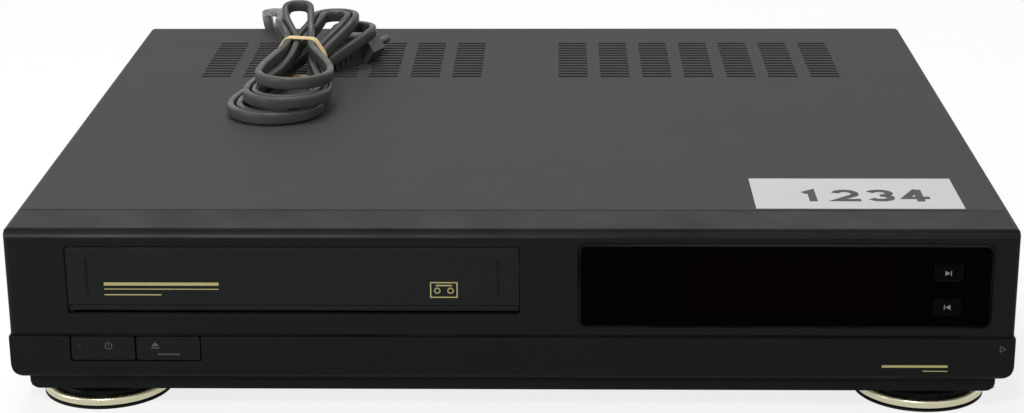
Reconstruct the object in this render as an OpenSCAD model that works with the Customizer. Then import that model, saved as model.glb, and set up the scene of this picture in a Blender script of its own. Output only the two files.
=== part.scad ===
/* [Overall] */
// Width across the side walls
body_w = 430; // [420:1:520]
// Depth from the front face to the rear edge of the cover
body_d = 360; // [350:1:440]
// Height from the table to the top of the cover
body_h = 84; // [84:0.5:104]
// Height of the feet under the body
foot_h = 10.5; // [8:0.5:13]

/* [Housing] */
// Thickness of the steel cover and chassis
sheet_t = 1; // [0.8:0.1:1.2]
// Wall of the moulded front panel
panel_t = 2.5; // [2:0.1:3]
// How far the front panel wraps back over the top and sides
panel_wrap = 29; // [26:1:36]
// Gap between fixed housing parts that lie side by side
seam = 0.3; // [0.2:0.05:0.5]
// Rounding of the cover's long bends
cover_r = 3; // [2:0.5:5]
// Diameter of the two large front feet
front_foot_d = 57; // [44:1:62]
// Diameter of the two plain rear feet
rear_foot_d = 24; // [18:1:32]

/* [Vents] */
// Number of slot blocks on each half of the cover
vent_blocks = 7; // [3:1:7]
// Slots in one block
vent_slots = 14; // [6:1:14]
// Distance between blocks
vent_block_pitch = 22.15; // [20:0.05:23]
// Distance between slots
vent_slot_pitch = 5.5; // [5:0.1:6]
// Width of a slot
vent_slot_w = 3; // [2:0.1:3.4]
// Length of a slot
vent_slot_l = 15.4; // [12:0.1:16]

/* [Front] */
// Width of the cassette slot
slot_w = 192.7; // [190:0.1:196]
// Height of the cassette slot
slot_h = 30.5; // [29:0.1:31]
// Height of the drop-down door
door_h = 19.6; // [18:0.1:21]
// Thickness of the drop-down door
door_t = 1.6; // [1.4:0.1:2]
// How far the display window stands proud of the face
window_proud = 0.8; // [0.4:0.1:1.2]
// Travel of every push button
button_travel = 1.2; // [0.8:0.1:1.4]
// Radius of the hinge pins of flap and door
hinge_pin_r = 1; // [0.8:0.05:1.1]

/* [Loader] */
// Travel of the loader to the rear
load_travel = 40; // [30:1:42]
// Travel of the cassette carriage downwards
drop_travel = 20; // [16:0.5:20]
// Teeth of each pinion
pinion_teeth = 16; // [14:2:18]
// Pitch radius of each pinion
pinion_r = 8; // [7:0.1:8.4]
// Radius of the loader shaft
shaft_r = 2.5; // [2:0.1:2.8]
// Thickness of the sliding racks
rack_t = 2; // [1.6:0.1:2.2]

/* [Tape deck] */
// Radius of the head drum
drum_r = 31; // [28:0.5:31]
// Lean of the head drum towards the cassette
drum_lean = 5; // [0:0.5:6]
// Distance between the two reel spindles
reel_pitch = 92; // [88:1:96]
// Radius of the capstan
capstan_r = 2; // [1.5:0.1:2.2]
// Radius of the pinch roller
pinch_r = 7; // [6:0.5:8]
// Turn of the tape guides around their arcs
guide_turn = 64; // [50:1:66]
// Turn of the pinch arm
pinch_turn = 20; // [15:1:24]

/* [Mains cord] */
// Width of the flat cord
cord_w = 6; // [5:0.1:6.4]
// Thickness of the flat cord
cord_t = 3.6; // [3:0.1:3.8]
// Loops of the hank, the last one leaving at its waist
hank_loops = 4.7; // [2.7:1:4.7]
// Sideways step from loop to loop
hank_step = 4.4; // [4.3:0.1:4.6]
// Height step from layer to layer
hank_row = 7.2; // [7:0.1:7.6]
// Height that the rear lobe lifts above the waist
hank_lift = 13.6; // [12:0.2:15]

/* [Hidden] */
$fn = 64;

// Places shared by several pieces. Depth d is counted back from the front face.
half_w = body_w / 2;
button_proud = 0.4;
socket_reach = 7;
front_reach = window_proud + button_proud;
face_y = -(front_reach + body_d + socket_reach) / 2 + front_reach;

fit_gap = 0.1;
slide_gap = 0.3;

door_z0 = foot_h + 6.4;
door_z1 = door_z0 + door_h;
door_roll_r = 4;
door_axis = [door_roll_r, door_z0 + door_roll_r];
door_swing_r = door_z1 - door_axis.y;
door_return_d = 11.5;
face_z0 = door_z1 + seam;
recess_d = 12.5;
recess_t = 2;
plinth_d = 5;
plinth_inset = 7;
plinth_top = door_z0 - seam;

loader_x = -half_w + 123;
slot_z1 = body_h - 6.6;
slot_z0 = slot_z1 - slot_h;
slot_x0 = loader_x - slot_w / 2;
slot_x1 = loader_x + slot_w / 2;
flap_axis = [2.2, slot_z1 - 1.2];
flap_t = 2;

window_x0 = slot_x1 + 24.7;
window_x1 = half_w - 11.7;
window_z0 = body_h - 42.6;
window_z1 = body_h - 5.2;
window_r = 3.5;
search_x0 = window_x1 - 24.3;
search_w = 10.7;
search_h = 6.4;
search_back_z = window_z0 + 6.6;
search_forward_z = window_z0 + 21.8;

front_keys_x0 = -half_w + 27;
front_keys_w = 55.3;
front_keys_z0 = door_z0 + 8.7;
front_keys_h = door_h - 8.9;
key_gap = 0.8;
notch_gap = 0.6;

transport_x0 = -half_w + 115;
transport_pitch = 22;
transport_w = 19;
transport_h = 8.5;
transport_z0 = door_z0 + 5.6;
transport_d = 7.5;
knob_x = transport_x0 + 6 * transport_pitch + 58;
knob_z = door_z0 + 10.1;
knob_r = 6.5;
knob_shaft_r = 2;
key_flange_d = recess_d + recess_t + slide_gap;
switch_d = key_flange_d + 1 + button_travel + slide_gap;
control_board_d = switch_d + 2;
display_board_d = 14;
board_t = 1.6;

ledge_z = slot_z0 + 1.6;
deck_z = ledge_z - drop_travel - 5;
deck_t = 1.5;
deck_half = 111;
deck_d0 = 45;
deck_d1 = 262;
post_r = 4;
deck_posts = [for (s = [-1, 1], d = [deck_d0 + 8, deck_d1 - 8]) [loader_x + s * 105, d]];

carriage_half = 95.3;
carriage_t = 1.2;
carriage_d0 = 33;
carriage_d1 = 111;
carriage_top_z = ledge_z + 26.1;
carriage_pins = [carriage_d0 + 17, carriage_d0 + 62];
carriage_pin_r = 1.5;
carriage_pin_z = ledge_z + 11.5;
rack_in = 99.7;
rack_out = rack_in + rack_t;
bracket_in = rack_out + 0.5;
bracket_t = 1.5;
bracket_out = bracket_in + bracket_t;
bracket_z1 = body_h - 2.5;
bracket_d0 = 36;
bracket_d1 = 212;
stud_r = 1.9;
rack_top = bracket_z1 - bracket_t - slide_gap;
rack_d0 = 42;
rack_d1 = 104;
rack_arm_d1 = 166;
shaft_d = 157;
shaft_z = ledge_z + 9.5;
tooth_pitch = 2 * 180 / pinion_teeth * pinion_r * PI / 180;
tooth_half = tooth_pitch / 2 / 2 - 0.165;
tooth_add = 0.8;
tooth_ded = 1.2;
tooth_slope = tan(20);
stud_z = rack_top - 7;
rack_studs = [92, 150];

drum_d = 200;
reel_d = 88;
reel_r = 20;
reel_stud_r = 1.5;
capstan_at = [62, 163];
flywheel_r = 32;
guide_centre = [-12.4, 186.5];
guide_arc_r = 53.2;
guide_start = -49.6;
guide_base_r = 6;
guide_foot_r = 1.8;
pinch_pivot = [84, 186];
pinch_gap = 0.3;
pinch_engaged = capstan_at + (capstan_r + pinch_r + pinch_gap) * [cos(60), sin(60)];
pinch_stud_r = 2;
roller_pin_r = 1.5;

board_x0 = loader_x + deck_half + 5;
board_x1 = half_w - 10;
board_z = foot_h + 6;
power_x0 = loader_x - 43;
power_x1 = loader_x + 67;
power_d0 = deck_d1 + 8;

rear_d = body_d - 2.7;
rear_t = 1.2;
tuner_x = [half_w - 75, half_w - 47];
tuner_z = foot_h + 34.5;
aerial_r = 4.75;
av_x = board_x0 + 26;
av_pitch = 16;
av_rows = [foot_h + 17.5, foot_h + 31.5];
phono_r = 4.15;
scart_x = av_x + av_pitch;
scart_z = foot_h + 53.5;
scart_w = 47;
scart_h = 15.5;

gland_x = -half_w + 68;
gland_z = foot_h + 21;
gland_r = 6.5;
relief_end = body_d + 20;

// Colours of the finishes
col_cover = [0.27, 0.27, 0.28];
col_panel = [0.13, 0.13, 0.14];
col_key = [0.16, 0.16, 0.17];
col_window = [0.03, 0.03, 0.04];
col_steel = [0.68, 0.69, 0.7];
col_gold = [0.74, 0.7, 0.55];
col_board = [0.2, 0.42, 0.25];
col_black = [0.07, 0.07, 0.08];
col_cast = [0.6, 0.61, 0.62];
col_cord = [0.38, 0.39, 0.37];

// Moves a piece from depth coordinates to the part's own frame
module at_face() {
    translate([0, face_y, 0]) children();
}

// Extrudes a profile drawn as depth and height along the width
module along_x(x0, x1) {
    translate([x0, 0, 0]) rotate([90, 0, 90]) linear_extrude(x1 - x0) children();
}

// Extrudes a front elevation drawn as width and height along the depth
module facing(d0, d1) {
    translate([0, d1, 0]) rotate([90, 0, 0]) linear_extrude(d1 - d0) children();
}

// Box between two corners
module block(low, high) {
    translate(low) cube(high - low);
}

// Rectangle between two corners with four equal round corners
module soft_rect(low, high, r) {
    translate([low.x + r, low.y]) square([high.x - low.x - 2 * r, high.y - low.y]);
    translate([low.x, low.y + r]) square([high.x - low.x, high.y - low.y - 2 * r]);
    for (x = [low.x + r, high.x - r], y = [low.y + r, high.y - r]) {
        translate([x, y]) circle(r = r, $fn = 32);
    }
}

// Round bar along the width
module bar_x(x0, x1, d, z, r) {
    translate([x0, d, z]) rotate([0, 90, 0]) cylinder(r = r, h = x1 - x0, $fn = 48);
}

// Round bar along the depth
module bar_d(x, z, d0, d1, r) {
    translate([x, d0, z]) rotate([-90, 0, 0]) cylinder(r = r, h = d1 - d0, $fn = 48);
}

// Round post standing on a level
module post(x, d, z0, z1, r) {
    translate([x, d, z0]) cylinder(r = r, h = z1 - z0, $fn = 48);
}

// Inverted channel of the cover, open at the bottom
module channel(half, top, wall, bottom, r) {
    difference() {
        soft_rect([-half, bottom - 10], [half, top], r);
        soft_rect([-half + wall, bottom - 12], [half - wall, top - wall], r - wall);
        translate([-half - 1, bottom - 20]) square([2 * half + 2, 20]);
    }
}

// The painted steel cover with its tucked front edge, rear lip and punched vents
module top_cover() color(col_cover) at_face() difference() {
    tuck = panel_t + seam;
    union() {
        facing(panel_wrap + seam, body_d) channel(half_w, body_h, sheet_t, foot_h + 2.5, cover_r);
        facing(panel_wrap + seam, panel_wrap + seam + sheet_t) {
            channel(half_w - 0.5, body_h - 0.5, tuck + sheet_t - 0.5, foot_h + 10, cover_r + 1.5);
        }
        facing(panel_wrap - 6, panel_wrap + seam + 0.5) {
            channel(half_w - tuck, body_h - tuck, sheet_t, foot_h + 30, cover_r - 0.5);
        }
        block([-half_w + 4, body_d - sheet_t, body_h - 10], [half_w - 4, body_d, body_h - 0.5]);
    }
    for (s = [-1, 1], b = [0:vent_blocks - 1]) vent_block(s * (28.1 + b * vent_block_pitch));
    for (s = [-1, 1], p = side_screws) {
        bar_x(s * half_w - 3, s * half_w + 3, p.x, p.y, screw_r + 0.4);
    }
    for (x = rear_screws) bar_d(x, rear_screw_z, body_d - 3, body_d + 1, screw_r + 0.4);
}

module vent_block(x) {
    for (i = [0:vent_slots - 1]) {
        d = body_d - 108 + i * vent_slot_pitch;
        block([x - vent_slot_l / 2, d, body_h - 3], [x + vent_slot_l / 2, d + vent_slot_w, body_h + 1]);
    }
}

screw_r = 1.5;
side_screws = [[60, foot_h + 15], [body_d - 60, foot_h + 15]];
rear_screws = [-half_w + 30, 0, half_w - 30];
rear_screw_z = body_h - 7;
rear_base_screws = [-half_w + 20, 10, half_w - 20];
rear_base_z = foot_h + 7;

// Pan head screw with a cross recess, pointing down the Z axis
module pan_screw(length) {
    difference() {
        union() {
            cylinder(r = 3.4, h = 1.2, $fn = 32);
            translate([0, 0, 1.2]) cylinder(r1 = 3.4, r2 = 2.2, h = 0.9, $fn = 32);
            translate([0, 0, -length]) cylinder(r = screw_r, h = length + 0.1, $fn = 24);
        }
        for (a = [0, 90]) rotate(a) translate([-1.8, -0.35, 1]) cube([3.6, 0.7, 2]);
    }
}

module cover_screws() color(col_black) at_face() {
    for (s = [-1, 1], p = side_screws) {
        translate([s * half_w, p.x, p.y]) rotate([0, s * 90, 0]) pan_screw(5);
    }
    for (x = rear_screws) translate([x, body_d, rear_screw_z]) rotate([-90, 0, 0]) pan_screw(5);
    for (x = rear_base_screws) {
        translate([x, rear_d + rear_t, rear_base_z]) rotate([-90, 0, 0]) pan_screw(5);
    }
}

// Outer contour of the front panel's section, from the top rear edge to the face
function panel_contour() =
    let (lip = 1.5, lip_z = body_h - 1.2 - lip)
    concat(
        [[panel_wrap, body_h], [4.5, body_h], [4.5, body_h - 1.8], [1.5, body_h - 1.8]],
        [for (a = [90:15:180]) [lip + lip * cos(a), lip_z + lip * sin(a)]]
    );

module panel_section() {
    polygon(concat(panel_contour(), [
        [0, face_z0], [recess_d, face_z0], [recess_d, plinth_top - 2.2],
        [recess_d + recess_t, plinth_top - 2.2], [recess_d + recess_t, face_z0 + panel_t],
        [panel_t, face_z0 + panel_t], [panel_t, body_h - 5], [6.5, body_h - panel_t],
        [panel_wrap, body_h - panel_t]
    ]));
}

module panel_side_section() {
    difference() {
        polygon(concat(panel_contour(), [[0, door_z0], [panel_wrap, door_z0]]));
        intersection() {
            translate(door_axis) circle(r = door_swing_r + 0.5, $fn = 96);
            translate([-5, 0]) square([40, face_z0]);
        }
    }
}

module plinth_section() {
    translate([plinth_d, foot_h]) square([panel_t, plinth_top - foot_h]);
    translate([plinth_d, plinth_top - 2.2]) square([recess_d + recess_t - plinth_d, 2.2]);
}

// Plan outline of the front panel with drawn-in, rounded front corners
module panel_plan() {
    corner = 3;
    draft = 0.8;
    polygon([
        [-half_w, panel_wrap], [-half_w, 12], [-half_w + draft, corner],
        [half_w - draft, corner], [half_w, 12], [half_w, panel_wrap]
    ]);
    translate([-half_w + draft + corner, 0]) square([2 * (half_w - draft - corner), corner + 1]);
    for (s = [-1, 1]) {
        translate([s * (half_w - draft - corner), corner]) circle(r = corner, $fn = 48);
    }
}

// Cheek that carries one hinge pin of the door
module door_cheek() {
    difference() {
        union() {
            difference() {
                translate([door_t + 0.4, door_z0 + 2]) {
                    square([recess_d - door_t, face_z0 - door_z0 - 1.5]);
                }
                intersection() {
                    translate(door_axis) circle(r = door_roll_r + slide_gap, $fn = 64);
                    translate([0, door_z0 - 2]) square([12, door_roll_r + 2.2]);
                }
                translate([0, door_z0 - seam]) square([door_axis.x, door_roll_r + seam + 0.2]);
            }
            translate(door_axis) circle(r = door_roll_r - door_t - slide_gap, $fn = 48);
        }
        translate(door_axis) circle(r = hinge_pin_r + fit_gap, $fn = 48);
    }
}

cheek_x1 = half_w - 1.9;
cheek_x0 = cheek_x1 - 2.7;

module front_panel() color(col_panel) at_face() difference() {
    union() {
        intersection() {
            union() {
                along_x(-half_w + panel_t, half_w - panel_t) panel_section();
                along_x(-half_w, -half_w + panel_t) panel_side_section();
                along_x(half_w - panel_t, half_w) panel_side_section();
                intersection() {
                    along_x(-half_w + plinth_inset, half_w - plinth_inset) plinth_section();
                    facing(0, panel_wrap) {
                        soft_rect([-half_w + plinth_inset, foot_h], [half_w - plinth_inset, body_h], 4);
                    }
                }
            }
            translate([0, 0, foot_h]) linear_extrude(body_h) panel_plan();
            facing(-1, panel_wrap + 1) soft_rect([-half_w, -10], [half_w, body_h], cover_r);
        }
        along_x(-cheek_x1, -cheek_x0) door_cheek();
        along_x(cheek_x0, cheek_x1) door_cheek();
        for (x = [slot_x0 - 3, slot_x1]) {
            block([x, panel_t - 0.5, flap_axis.y - 3], [x + 3, panel_t + 3, flap_axis.y + 3]);
        }
        bar_x(slot_x1 + 4, slot_x1 + 10, 7.5, slot_z1 - 9, 1.6);
        block([slot_x1 + 8, panel_t - 0.5, slot_z1 - 11], [slot_x1 + 10, 8, slot_z1 - 7]);
        for (x = [window_x0 - 6, window_x1 + 4.5], z = [window_z0 + 5, window_z1 - 5]) {
            bar_d(x, z, panel_t - 0.5, display_board_d, 2.6);
        }
        for (x = control_posts) {
            bar_d(x, transport_z0 + 4, recess_d + 1, control_board_d, 2.6);
        }
    }
    // Slot for the cassette, opening for the window and bearings of the flap
    facing(-1, panel_t + 0.01) soft_rect([slot_x0, slot_z0], [slot_x1, slot_z1], 1.3);
    facing(-1, panel_t + 1) {
        soft_rect(
            [window_x0 - 0.2, window_z0 - 0.2], [window_x1 + 0.2, window_z1 + 0.2], window_r + 0.2
        );
    }
    bar_x(slot_x0 - 4, slot_x1 + 4, flap_axis.x, flap_axis.y, hinge_pin_r + fit_gap);
    // Openings in the recess wall
    for (i = [0:1]) {
        x = front_keys_x0 + (0.25 + i * 0.5) * front_keys_w;
        facing(recess_d - 1, recess_d + 4) {
            soft_rect([x - 4.3, front_keys_z0 + 2.2], [x + 4.3, front_keys_z0 + 7.8], 0.8);
        }
    }
    for (i = [0:5]) {
        x = transport_x0 + i * transport_pitch;
        facing(recess_d - 1, recess_d + 4) {
            soft_rect(
                [x - slide_gap, transport_z0 - slide_gap],
                [x + transport_w + slide_gap, transport_z0 + transport_h + slide_gap], 1.2
            );
        }
    }
    bar_d(knob_x, knob_z, recess_d - 1, recess_d + 4, knob_shaft_r + fit_gap);
}

control_posts = [
    front_keys_x0 + front_keys_w + 12, transport_x0 + 6 * transport_pitch + 6, knob_x + 22
];

// Folded steel base tray with its standoffs
module bottom_chassis() color(col_steel) at_face() difference() {
    floor_half = half_w - plinth_inset + 0.3;
    flange_half = half_w - sheet_t - seam;
    step_z = foot_h + 6;
    front_d = plinth_d + panel_t + seam;
    union() {
        block([-floor_half, front_d, foot_h], [floor_half, rear_d - seam, foot_h + sheet_t]);
        block([-floor_half + 1, front_d, foot_h], [floor_half - 1, front_d + sheet_t, plinth_top - 2.5]);
        block(
            [-floor_half, rear_d - seam - sheet_t, foot_h],
            [floor_half, rear_d - seam, foot_h + 12]
        );
        facing(panel_wrap + 1.6, body_d - 14) for (s = [-1, 1]) {
            translate([s * floor_half + (s < 0 ? 0 : -sheet_t), foot_h]) square([sheet_t, 7]);
            translate([s < 0 ? -flange_half : floor_half - sheet_t, step_z]) {
                square([flange_half - floor_half + sheet_t, sheet_t]);
            }
            translate([s * flange_half + (s < 0 ? 0 : -sheet_t), step_z]) square([sheet_t, 18]);
        }
        for (p = deck_posts) post(p.x, p.y, foot_h, deck_z - deck_t, post_r);
        for (x = [board_x0 + 5, board_x1 - 5], d = [40, 200, body_d - 16]) {
            post(x, d, foot_h, board_z, 3);
        }
        for (x = [power_x0 + 5, power_x1 - 5], d = [power_d0 + 5, body_d - 20]) {
            post(x, d, foot_h, board_z, 3);
        }
    }
    for (s = [-1, 1]) {
        post(s * front_foot_x, front_foot_y, foot_h - 1, foot_h + 3, foot_peg_r + fit_gap);
        post(s * rear_foot_x, rear_foot_y, foot_h - 1, foot_h + 3, foot_peg_r + fit_gap);
    }
    for (s = [-1, 1], p = side_screws) {
        bar_x(s * half_w - 4, s * half_w + 4, p.x, p.y, screw_r + fit_gap);
    }
    for (x = rear_base_screws) bar_d(x, rear_base_z, rear_d - 4, rear_d + 3, screw_r + fit_gap);
    block([av_x - 10, rear_d - 3, board_z], [av_x + 2 * av_pitch + 10, rear_d + 1, foot_h + 14]);
    block([tuner_x[0] - 15, rear_d - 3, board_z], [tuner_x[1] + 15, rear_d + 1, foot_h + 14]);
    for (i = [0:7]) {
        block([board_x0 + 20, 80 + i * 12, foot_h - 1], [board_x0 + 90, 84 + i * 12, foot_h + 3]);
    }
}

front_foot_x = half_w - 35;
front_foot_y = 6 + front_foot_d / 2;
rear_foot_x = half_w - 40;
rear_foot_y = body_d - 30;
foot_peg_r = 3;
ring_h = 4;
ring_z = 1;

// Big front foot: rim, waist for the bright ring, domed top and a locating peg
module front_foot(x) color(col_black) at_face() translate([x, front_foot_y, 0]) {
    outer = front_foot_d / 2;
    dome = 4.2;
    rotate_extrude($fn = 96) {
        square([outer - 0.1, ring_z]);
        square([outer - 2.4, ring_z + ring_h]);
        translate([0, ring_z + ring_h]) square([outer - 3 - dome, dome]);
        intersection() {
            translate([outer - 3 - dome, ring_z + ring_h]) circle(r = dome, $fn = 48);
            translate([0, ring_z + ring_h]) square([outer, dome]);
        }
        square([outer - 9, foot_h]);
        square([foot_peg_r, foot_h + 2.5]);
    }
}

module front_foot_left() front_foot(-front_foot_x);
module front_foot_right() front_foot(front_foot_x);

// Bright turned rings round the front feet
module foot_rings() color(col_gold) at_face() for (s = [-1, 1]) {
    outer = front_foot_d / 2;
    translate([s * front_foot_x, front_foot_y, ring_z]) rotate_extrude($fn = 96) {
        translate([outer - 2.4 + fit_gap, 0.05]) square([1.5, ring_h - 0.05]);
        translate([outer - 1.2, 0.05]) square([0.7, ring_h - 0.65]);
        translate([outer - 1.2, 1.1]) square([1.2, 1.7]);
        translate([outer - 0.75, 2.8]) circle(r = 0.75, $fn = 24);
        translate([outer - 0.75, 1.1]) circle(r = 0.75, $fn = 24);
    }
}

module rear_feet() color(col_black) at_face() for (s = [-1, 1]) {
    translate([s * rear_foot_x, rear_foot_y, 0]) rotate_extrude($fn = 64) {
        square([rear_foot_d / 2 - 1.5, foot_h]);
        translate([0, 1.5]) square([rear_foot_d / 2, foot_h - 1.5]);
        translate([rear_foot_d / 2 - 1.5, 1.5]) circle(r = 1.5, $fn = 24);
        square([foot_peg_r, foot_h + 2.5]);
    }
}

// Thin paper stock label on the cover
module stock_label() color([0.74, 0.74, 0.74]) at_face() {
    label = [90, 43, 0.15];
    block([half_w - 19 - label.x, panel_wrap + 2.4, body_h],
        [half_w - 19, panel_wrap + 2.4 + label.y, body_h + label.z]);
}

// Steel rear panel with folded top edge and socket cut-outs
module rear_panel() color([0.3, 0.3, 0.31]) at_face() difference() {
    union() {
        block([-half_w + 1.7, rear_d, foot_h + 1.5], [half_w - 1.7, rear_d + rear_t, body_h - 1.4]);
        block([-half_w + 10, rear_d - 10, body_h - 2.4], [half_w - 10, rear_d + 0.5, body_h - 1.4]);
    }
    bar_d(gland_x, gland_z, rear_d - 2, rear_d + 4, gland_r + fit_gap);
    for (x = tuner_x) bar_d(x, tuner_z, rear_d - 2, rear_d + 4, aerial_r + 1.3);
    for (i = [0:2], z = av_rows) {
        bar_d(av_x + i * av_pitch, z, rear_d - 2, rear_d + 4, phono_r + 1.2);
    }
    facing(rear_d - 2, rear_d + 4) {
        soft_rect(
            [scart_x - scart_w / 2 - 0.4, scart_z - scart_h / 2 - 0.4],
            [scart_x + scart_w / 2 + 0.4, scart_z + scart_h / 2 + 0.4], 1.5
        );
    }
    for (x = rear_screws) bar_d(x, rear_screw_z, rear_d - 4, rear_d + 3, screw_r + fit_gap);
    for (x = rear_base_screws) bar_d(x, rear_base_z, rear_d - 4, rear_d + 3, screw_r + fit_gap);
    for (i = [0:11]) {
        block([-half_w + 24 + i * 6, rear_d - 2, foot_h + 38], [-half_w + 27 + i * 6, rear_d + 4, foot_h + 62]);
    }
}

// Cassette flap: bevelled plate with a hinge bar along its top edge
module cassette_flap() color(col_panel) at_face() {
    x0 = slot_x0 + slide_gap;
    x1 = slot_x1 - slide_gap;
    z0 = slot_z0 + 1.3;
    z1 = slot_z1 - 0.4;
    front = 0.4;
    difference() {
        union() {
            along_x(x0, x1) polygon([
                [front + 0.8, z0], [front + 0.6, z0 + 1.5], [front + 1, z0 + 2], [front, z0 + 2.9],
                [front, z1 - 1.6],
                [front + 0.7, z1], [front + flap_t, z1], [front + flap_t, z0]
            ]);
            bar_x(x0, x1, flap_axis.x, flap_axis.y, hinge_pin_r);
            bar_x(x0 - 2.6, x1 + 2.6, flap_axis.x, flap_axis.y, hinge_pin_r);
            for (x = [x0 + 20, x1 - 22]) {
                block([x, front + flap_t - 0.3, z0 + 2], [x + 2, front + flap_t + 1.2, z1 - 4]);
            }
        }
        for (x = [x0 + 8.3, x1 - 9.3]) {
            block([x, front - 1, z0 + 7.6], [x + 1, front + 0.5, z1 - 5.7]);
        }
    }
}

// Torsion spring on its stub, with one leg on the panel and one under the flap's pin
module flap_spring() color(col_steel) at_face() {
    wire = 0.5;
    coil_r = 2.3;
    at = [7.5, slot_z1 - 9];
    for (i = [0:2]) {
        translate([slot_x1 + 5 + i * 1.02, at.x, at.y]) rotate([0, 90, 0]) {
            rotate_extrude($fn = 48) translate([coil_r, 0]) circle(r = wire + 0.03, $fn = 16);
        }
    }
    post(slot_x1 + 5, at.x - coil_r, at.y, flap_axis.y - hinge_pin_r - slide_gap - 0.3, wire);
    bar_x(slot_x1 + 3.1, slot_x1 + 5.2, at.x - coil_r, flap_axis.y - hinge_pin_r - slide_gap - 0.9, wire);
}

// Smoked window with a stepped front edge and a flange behind the panel
module display_window() color(col_window) at_face() difference() {
    union() {
        facing(-window_proud, 2) {
            soft_rect([window_x0 + 0.7, window_z0 + 0.7], [window_x1 - 0.7, window_z1 - 0.7], window_r - 0.7);
        }
        facing(-window_proud + 0.5, panel_t + seam) {
            soft_rect([window_x0, window_z0], [window_x1, window_z1], window_r);
        }
        facing(panel_t + 0.2, panel_t + 1.4) {
            soft_rect([window_x0 - 2, window_z0 - 1.2], [window_x1 + 1.6, window_z1 + 0.2], window_r);
        }
    }
    for (z = [search_back_z, search_forward_z]) facing(-3, 8) {
        soft_rect(
            [search_x0 - 0.25, z - 0.25], [search_x0 + search_w + 0.25, z + search_h + 0.25], 0.9
        );
    }
}

// Small key that passes through the window to its switch
module search_button(z) color(col_key) at_face() {
    front = -window_proud - button_proud;
    facing(front, 5) soft_rect([search_x0, z], [search_x0 + search_w, z + search_h], 0.7);
    facing(4.6, 5.8) {
        soft_rect([search_x0 - 1, z - 1], [search_x0 + search_w + 1, z + search_h + 1], 0.7);
    }
    bar_d(search_x0 + search_w / 2, z + search_h / 2, 5.5, display_board_d - 3.9 - button_travel, 1.5);
}

module search_forward_button() search_button(search_forward_z);
module search_back_button() search_button(search_back_z);

// Key beside the door's notch, with a stem through the recess wall
module front_key(i) color(col_key) at_face() {
    w = (front_keys_w - key_gap) / 2;
    x0 = front_keys_x0 + i * (w + key_gap);
    mid = front_keys_x0 + (0.25 + i * 0.5) * front_keys_w;
    back = recess_d - button_travel - slide_gap - 0.3;
    z1 = front_keys_z0 + front_keys_h;
    difference() {
        union() {
            facing(slide_gap, back) soft_rect([x0, front_keys_z0], [x0 + w, z1], 1);
            facing(back - 0.1, key_flange_d + 1) {
                soft_rect([mid - 4, front_keys_z0 + 2.5], [mid + 4, front_keys_z0 + 7.5], 0.6);
            }
        }
        if (i == 0) {
            block([lamp_x - 0.85, -1, lamp_z - 0.85], [lamp_x + 0.85, 6, lamp_z + 0.85]);
        }
        if (i == 1) {
            block([mid - 5.5, -1, front_keys_z0 + 2.2], [mid + 5, slide_gap + 0.3, front_keys_z0 + 3]);
        }
    }
}

lamp_x = front_keys_x0 + 3.6;
lamp_z = front_keys_z0 + 6.9;

module operate_button() front_key(0);
module eject_button() front_key(1);

// Light pipe in the corner of the operate key
module power_lamp() color([0.45, 0.12, 0.1]) at_face() {
    block([lamp_x - 0.75, slide_gap - 0.1, lamp_z - 0.75], [lamp_x + 0.75, 5.9, lamp_z + 0.75]);
}

// Full-width drop-down door: rolled lower edge, bevelled top, end returns and hinge pins
module control_door() color(col_panel) at_face() difference() {
    return_x = cheek_x1 + slide_gap;
    union() {
        intersection() {
            union() {
                along_x(-half_w, half_w) {
                    polygon([
                        [0, door_axis.y], [0, door_z1 - 0.8], [0.7, door_z1],
                        [door_t, door_z1], [door_t, door_axis.y]
                    ]);
                    translate(door_axis) intersection() {
                        difference() {
                            circle(r = door_roll_r, $fn = 96);
                            circle(r = door_roll_r - door_t, $fn = 96);
                        }
                        polygon([[0, 0], [-6, 0], [-6, -6], [6 * cos(262), 6 * sin(262)]]);
                    }
                }
                for (s = [-1, 1]) {
                    along_x(s < 0 ? -half_w : return_x, s < 0 ? -return_x : half_w) intersection() {
                        translate(door_axis) circle(r = door_swing_r, $fn = 96);
                        translate([0, door_z0]) square([door_return_d, door_h]);
                    }
                }
            }
            facing(-1, 20) door_outline();
        }
        for (s = [-1, 1]) {
            bar_x(s < 0 ? -return_x - 0.4 : cheek_x0 - 0.2, s < 0 ? -cheek_x0 + 0.2 : return_x + 0.4,
                door_axis.x, door_axis.y, hinge_pin_r);
        }
        for (i = [1:5]) {
            block([-half_w + i * body_w / 6 + 20, door_t - 0.2, door_z0 + 5],
                [-half_w + i * body_w / 6 + 21.2, door_t + 0.8, door_z1 - 2]);
        }
    }
    facing(-1, 3) {
        soft_rect(
            [front_keys_x0 - notch_gap, front_keys_z0 - notch_gap],
            [front_keys_x0 + front_keys_w + notch_gap, door_z1 + 6], 0.8
        );
    }
}

// Front view outline of the door with large lower corners
module door_outline() {
    corner = 7;
    draft = 0.4;
    translate([-half_w + draft, door_z0 + corner]) square([body_w - 2 * draft, door_h]);
    translate([-half_w + draft + corner, door_z0 - 1]) square([body_w - 2 * draft - 2 * corner, door_h]);
    for (s = [-1, 1]) {
        translate([s * (half_w - draft - corner), door_z0 + corner]) circle(r = corner, $fn = 64);
    }
}

// Keys in the recess behind the door
module transport_key(i) color(col_key) at_face() {
    x0 = transport_x0 + i * transport_pitch;
    x1 = x0 + transport_w;
    z1 = transport_z0 + transport_h;
    difference() {
        union() {
            facing(transport_d, key_flange_d + 0.2) soft_rect([x0, transport_z0], [x1, z1], 1);
            facing(key_flange_d, key_flange_d + 1) {
                soft_rect([x0 - 0.9, transport_z0 - 0.9], [x1 + 0.9, z1 + 0.9], 1);
            }
        }
        bar_x(x0 - 1, x1 + 1, transport_d - 5.4, (transport_z0 + z1) / 2, 6);
    }
}

module rewind_button() transport_key(0);
module play_button() transport_key(1);
module fast_forward_button() transport_key(2);
module stop_button() transport_key(3);
module pause_button() transport_key(4);
module record_button() transport_key(5);

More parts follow.
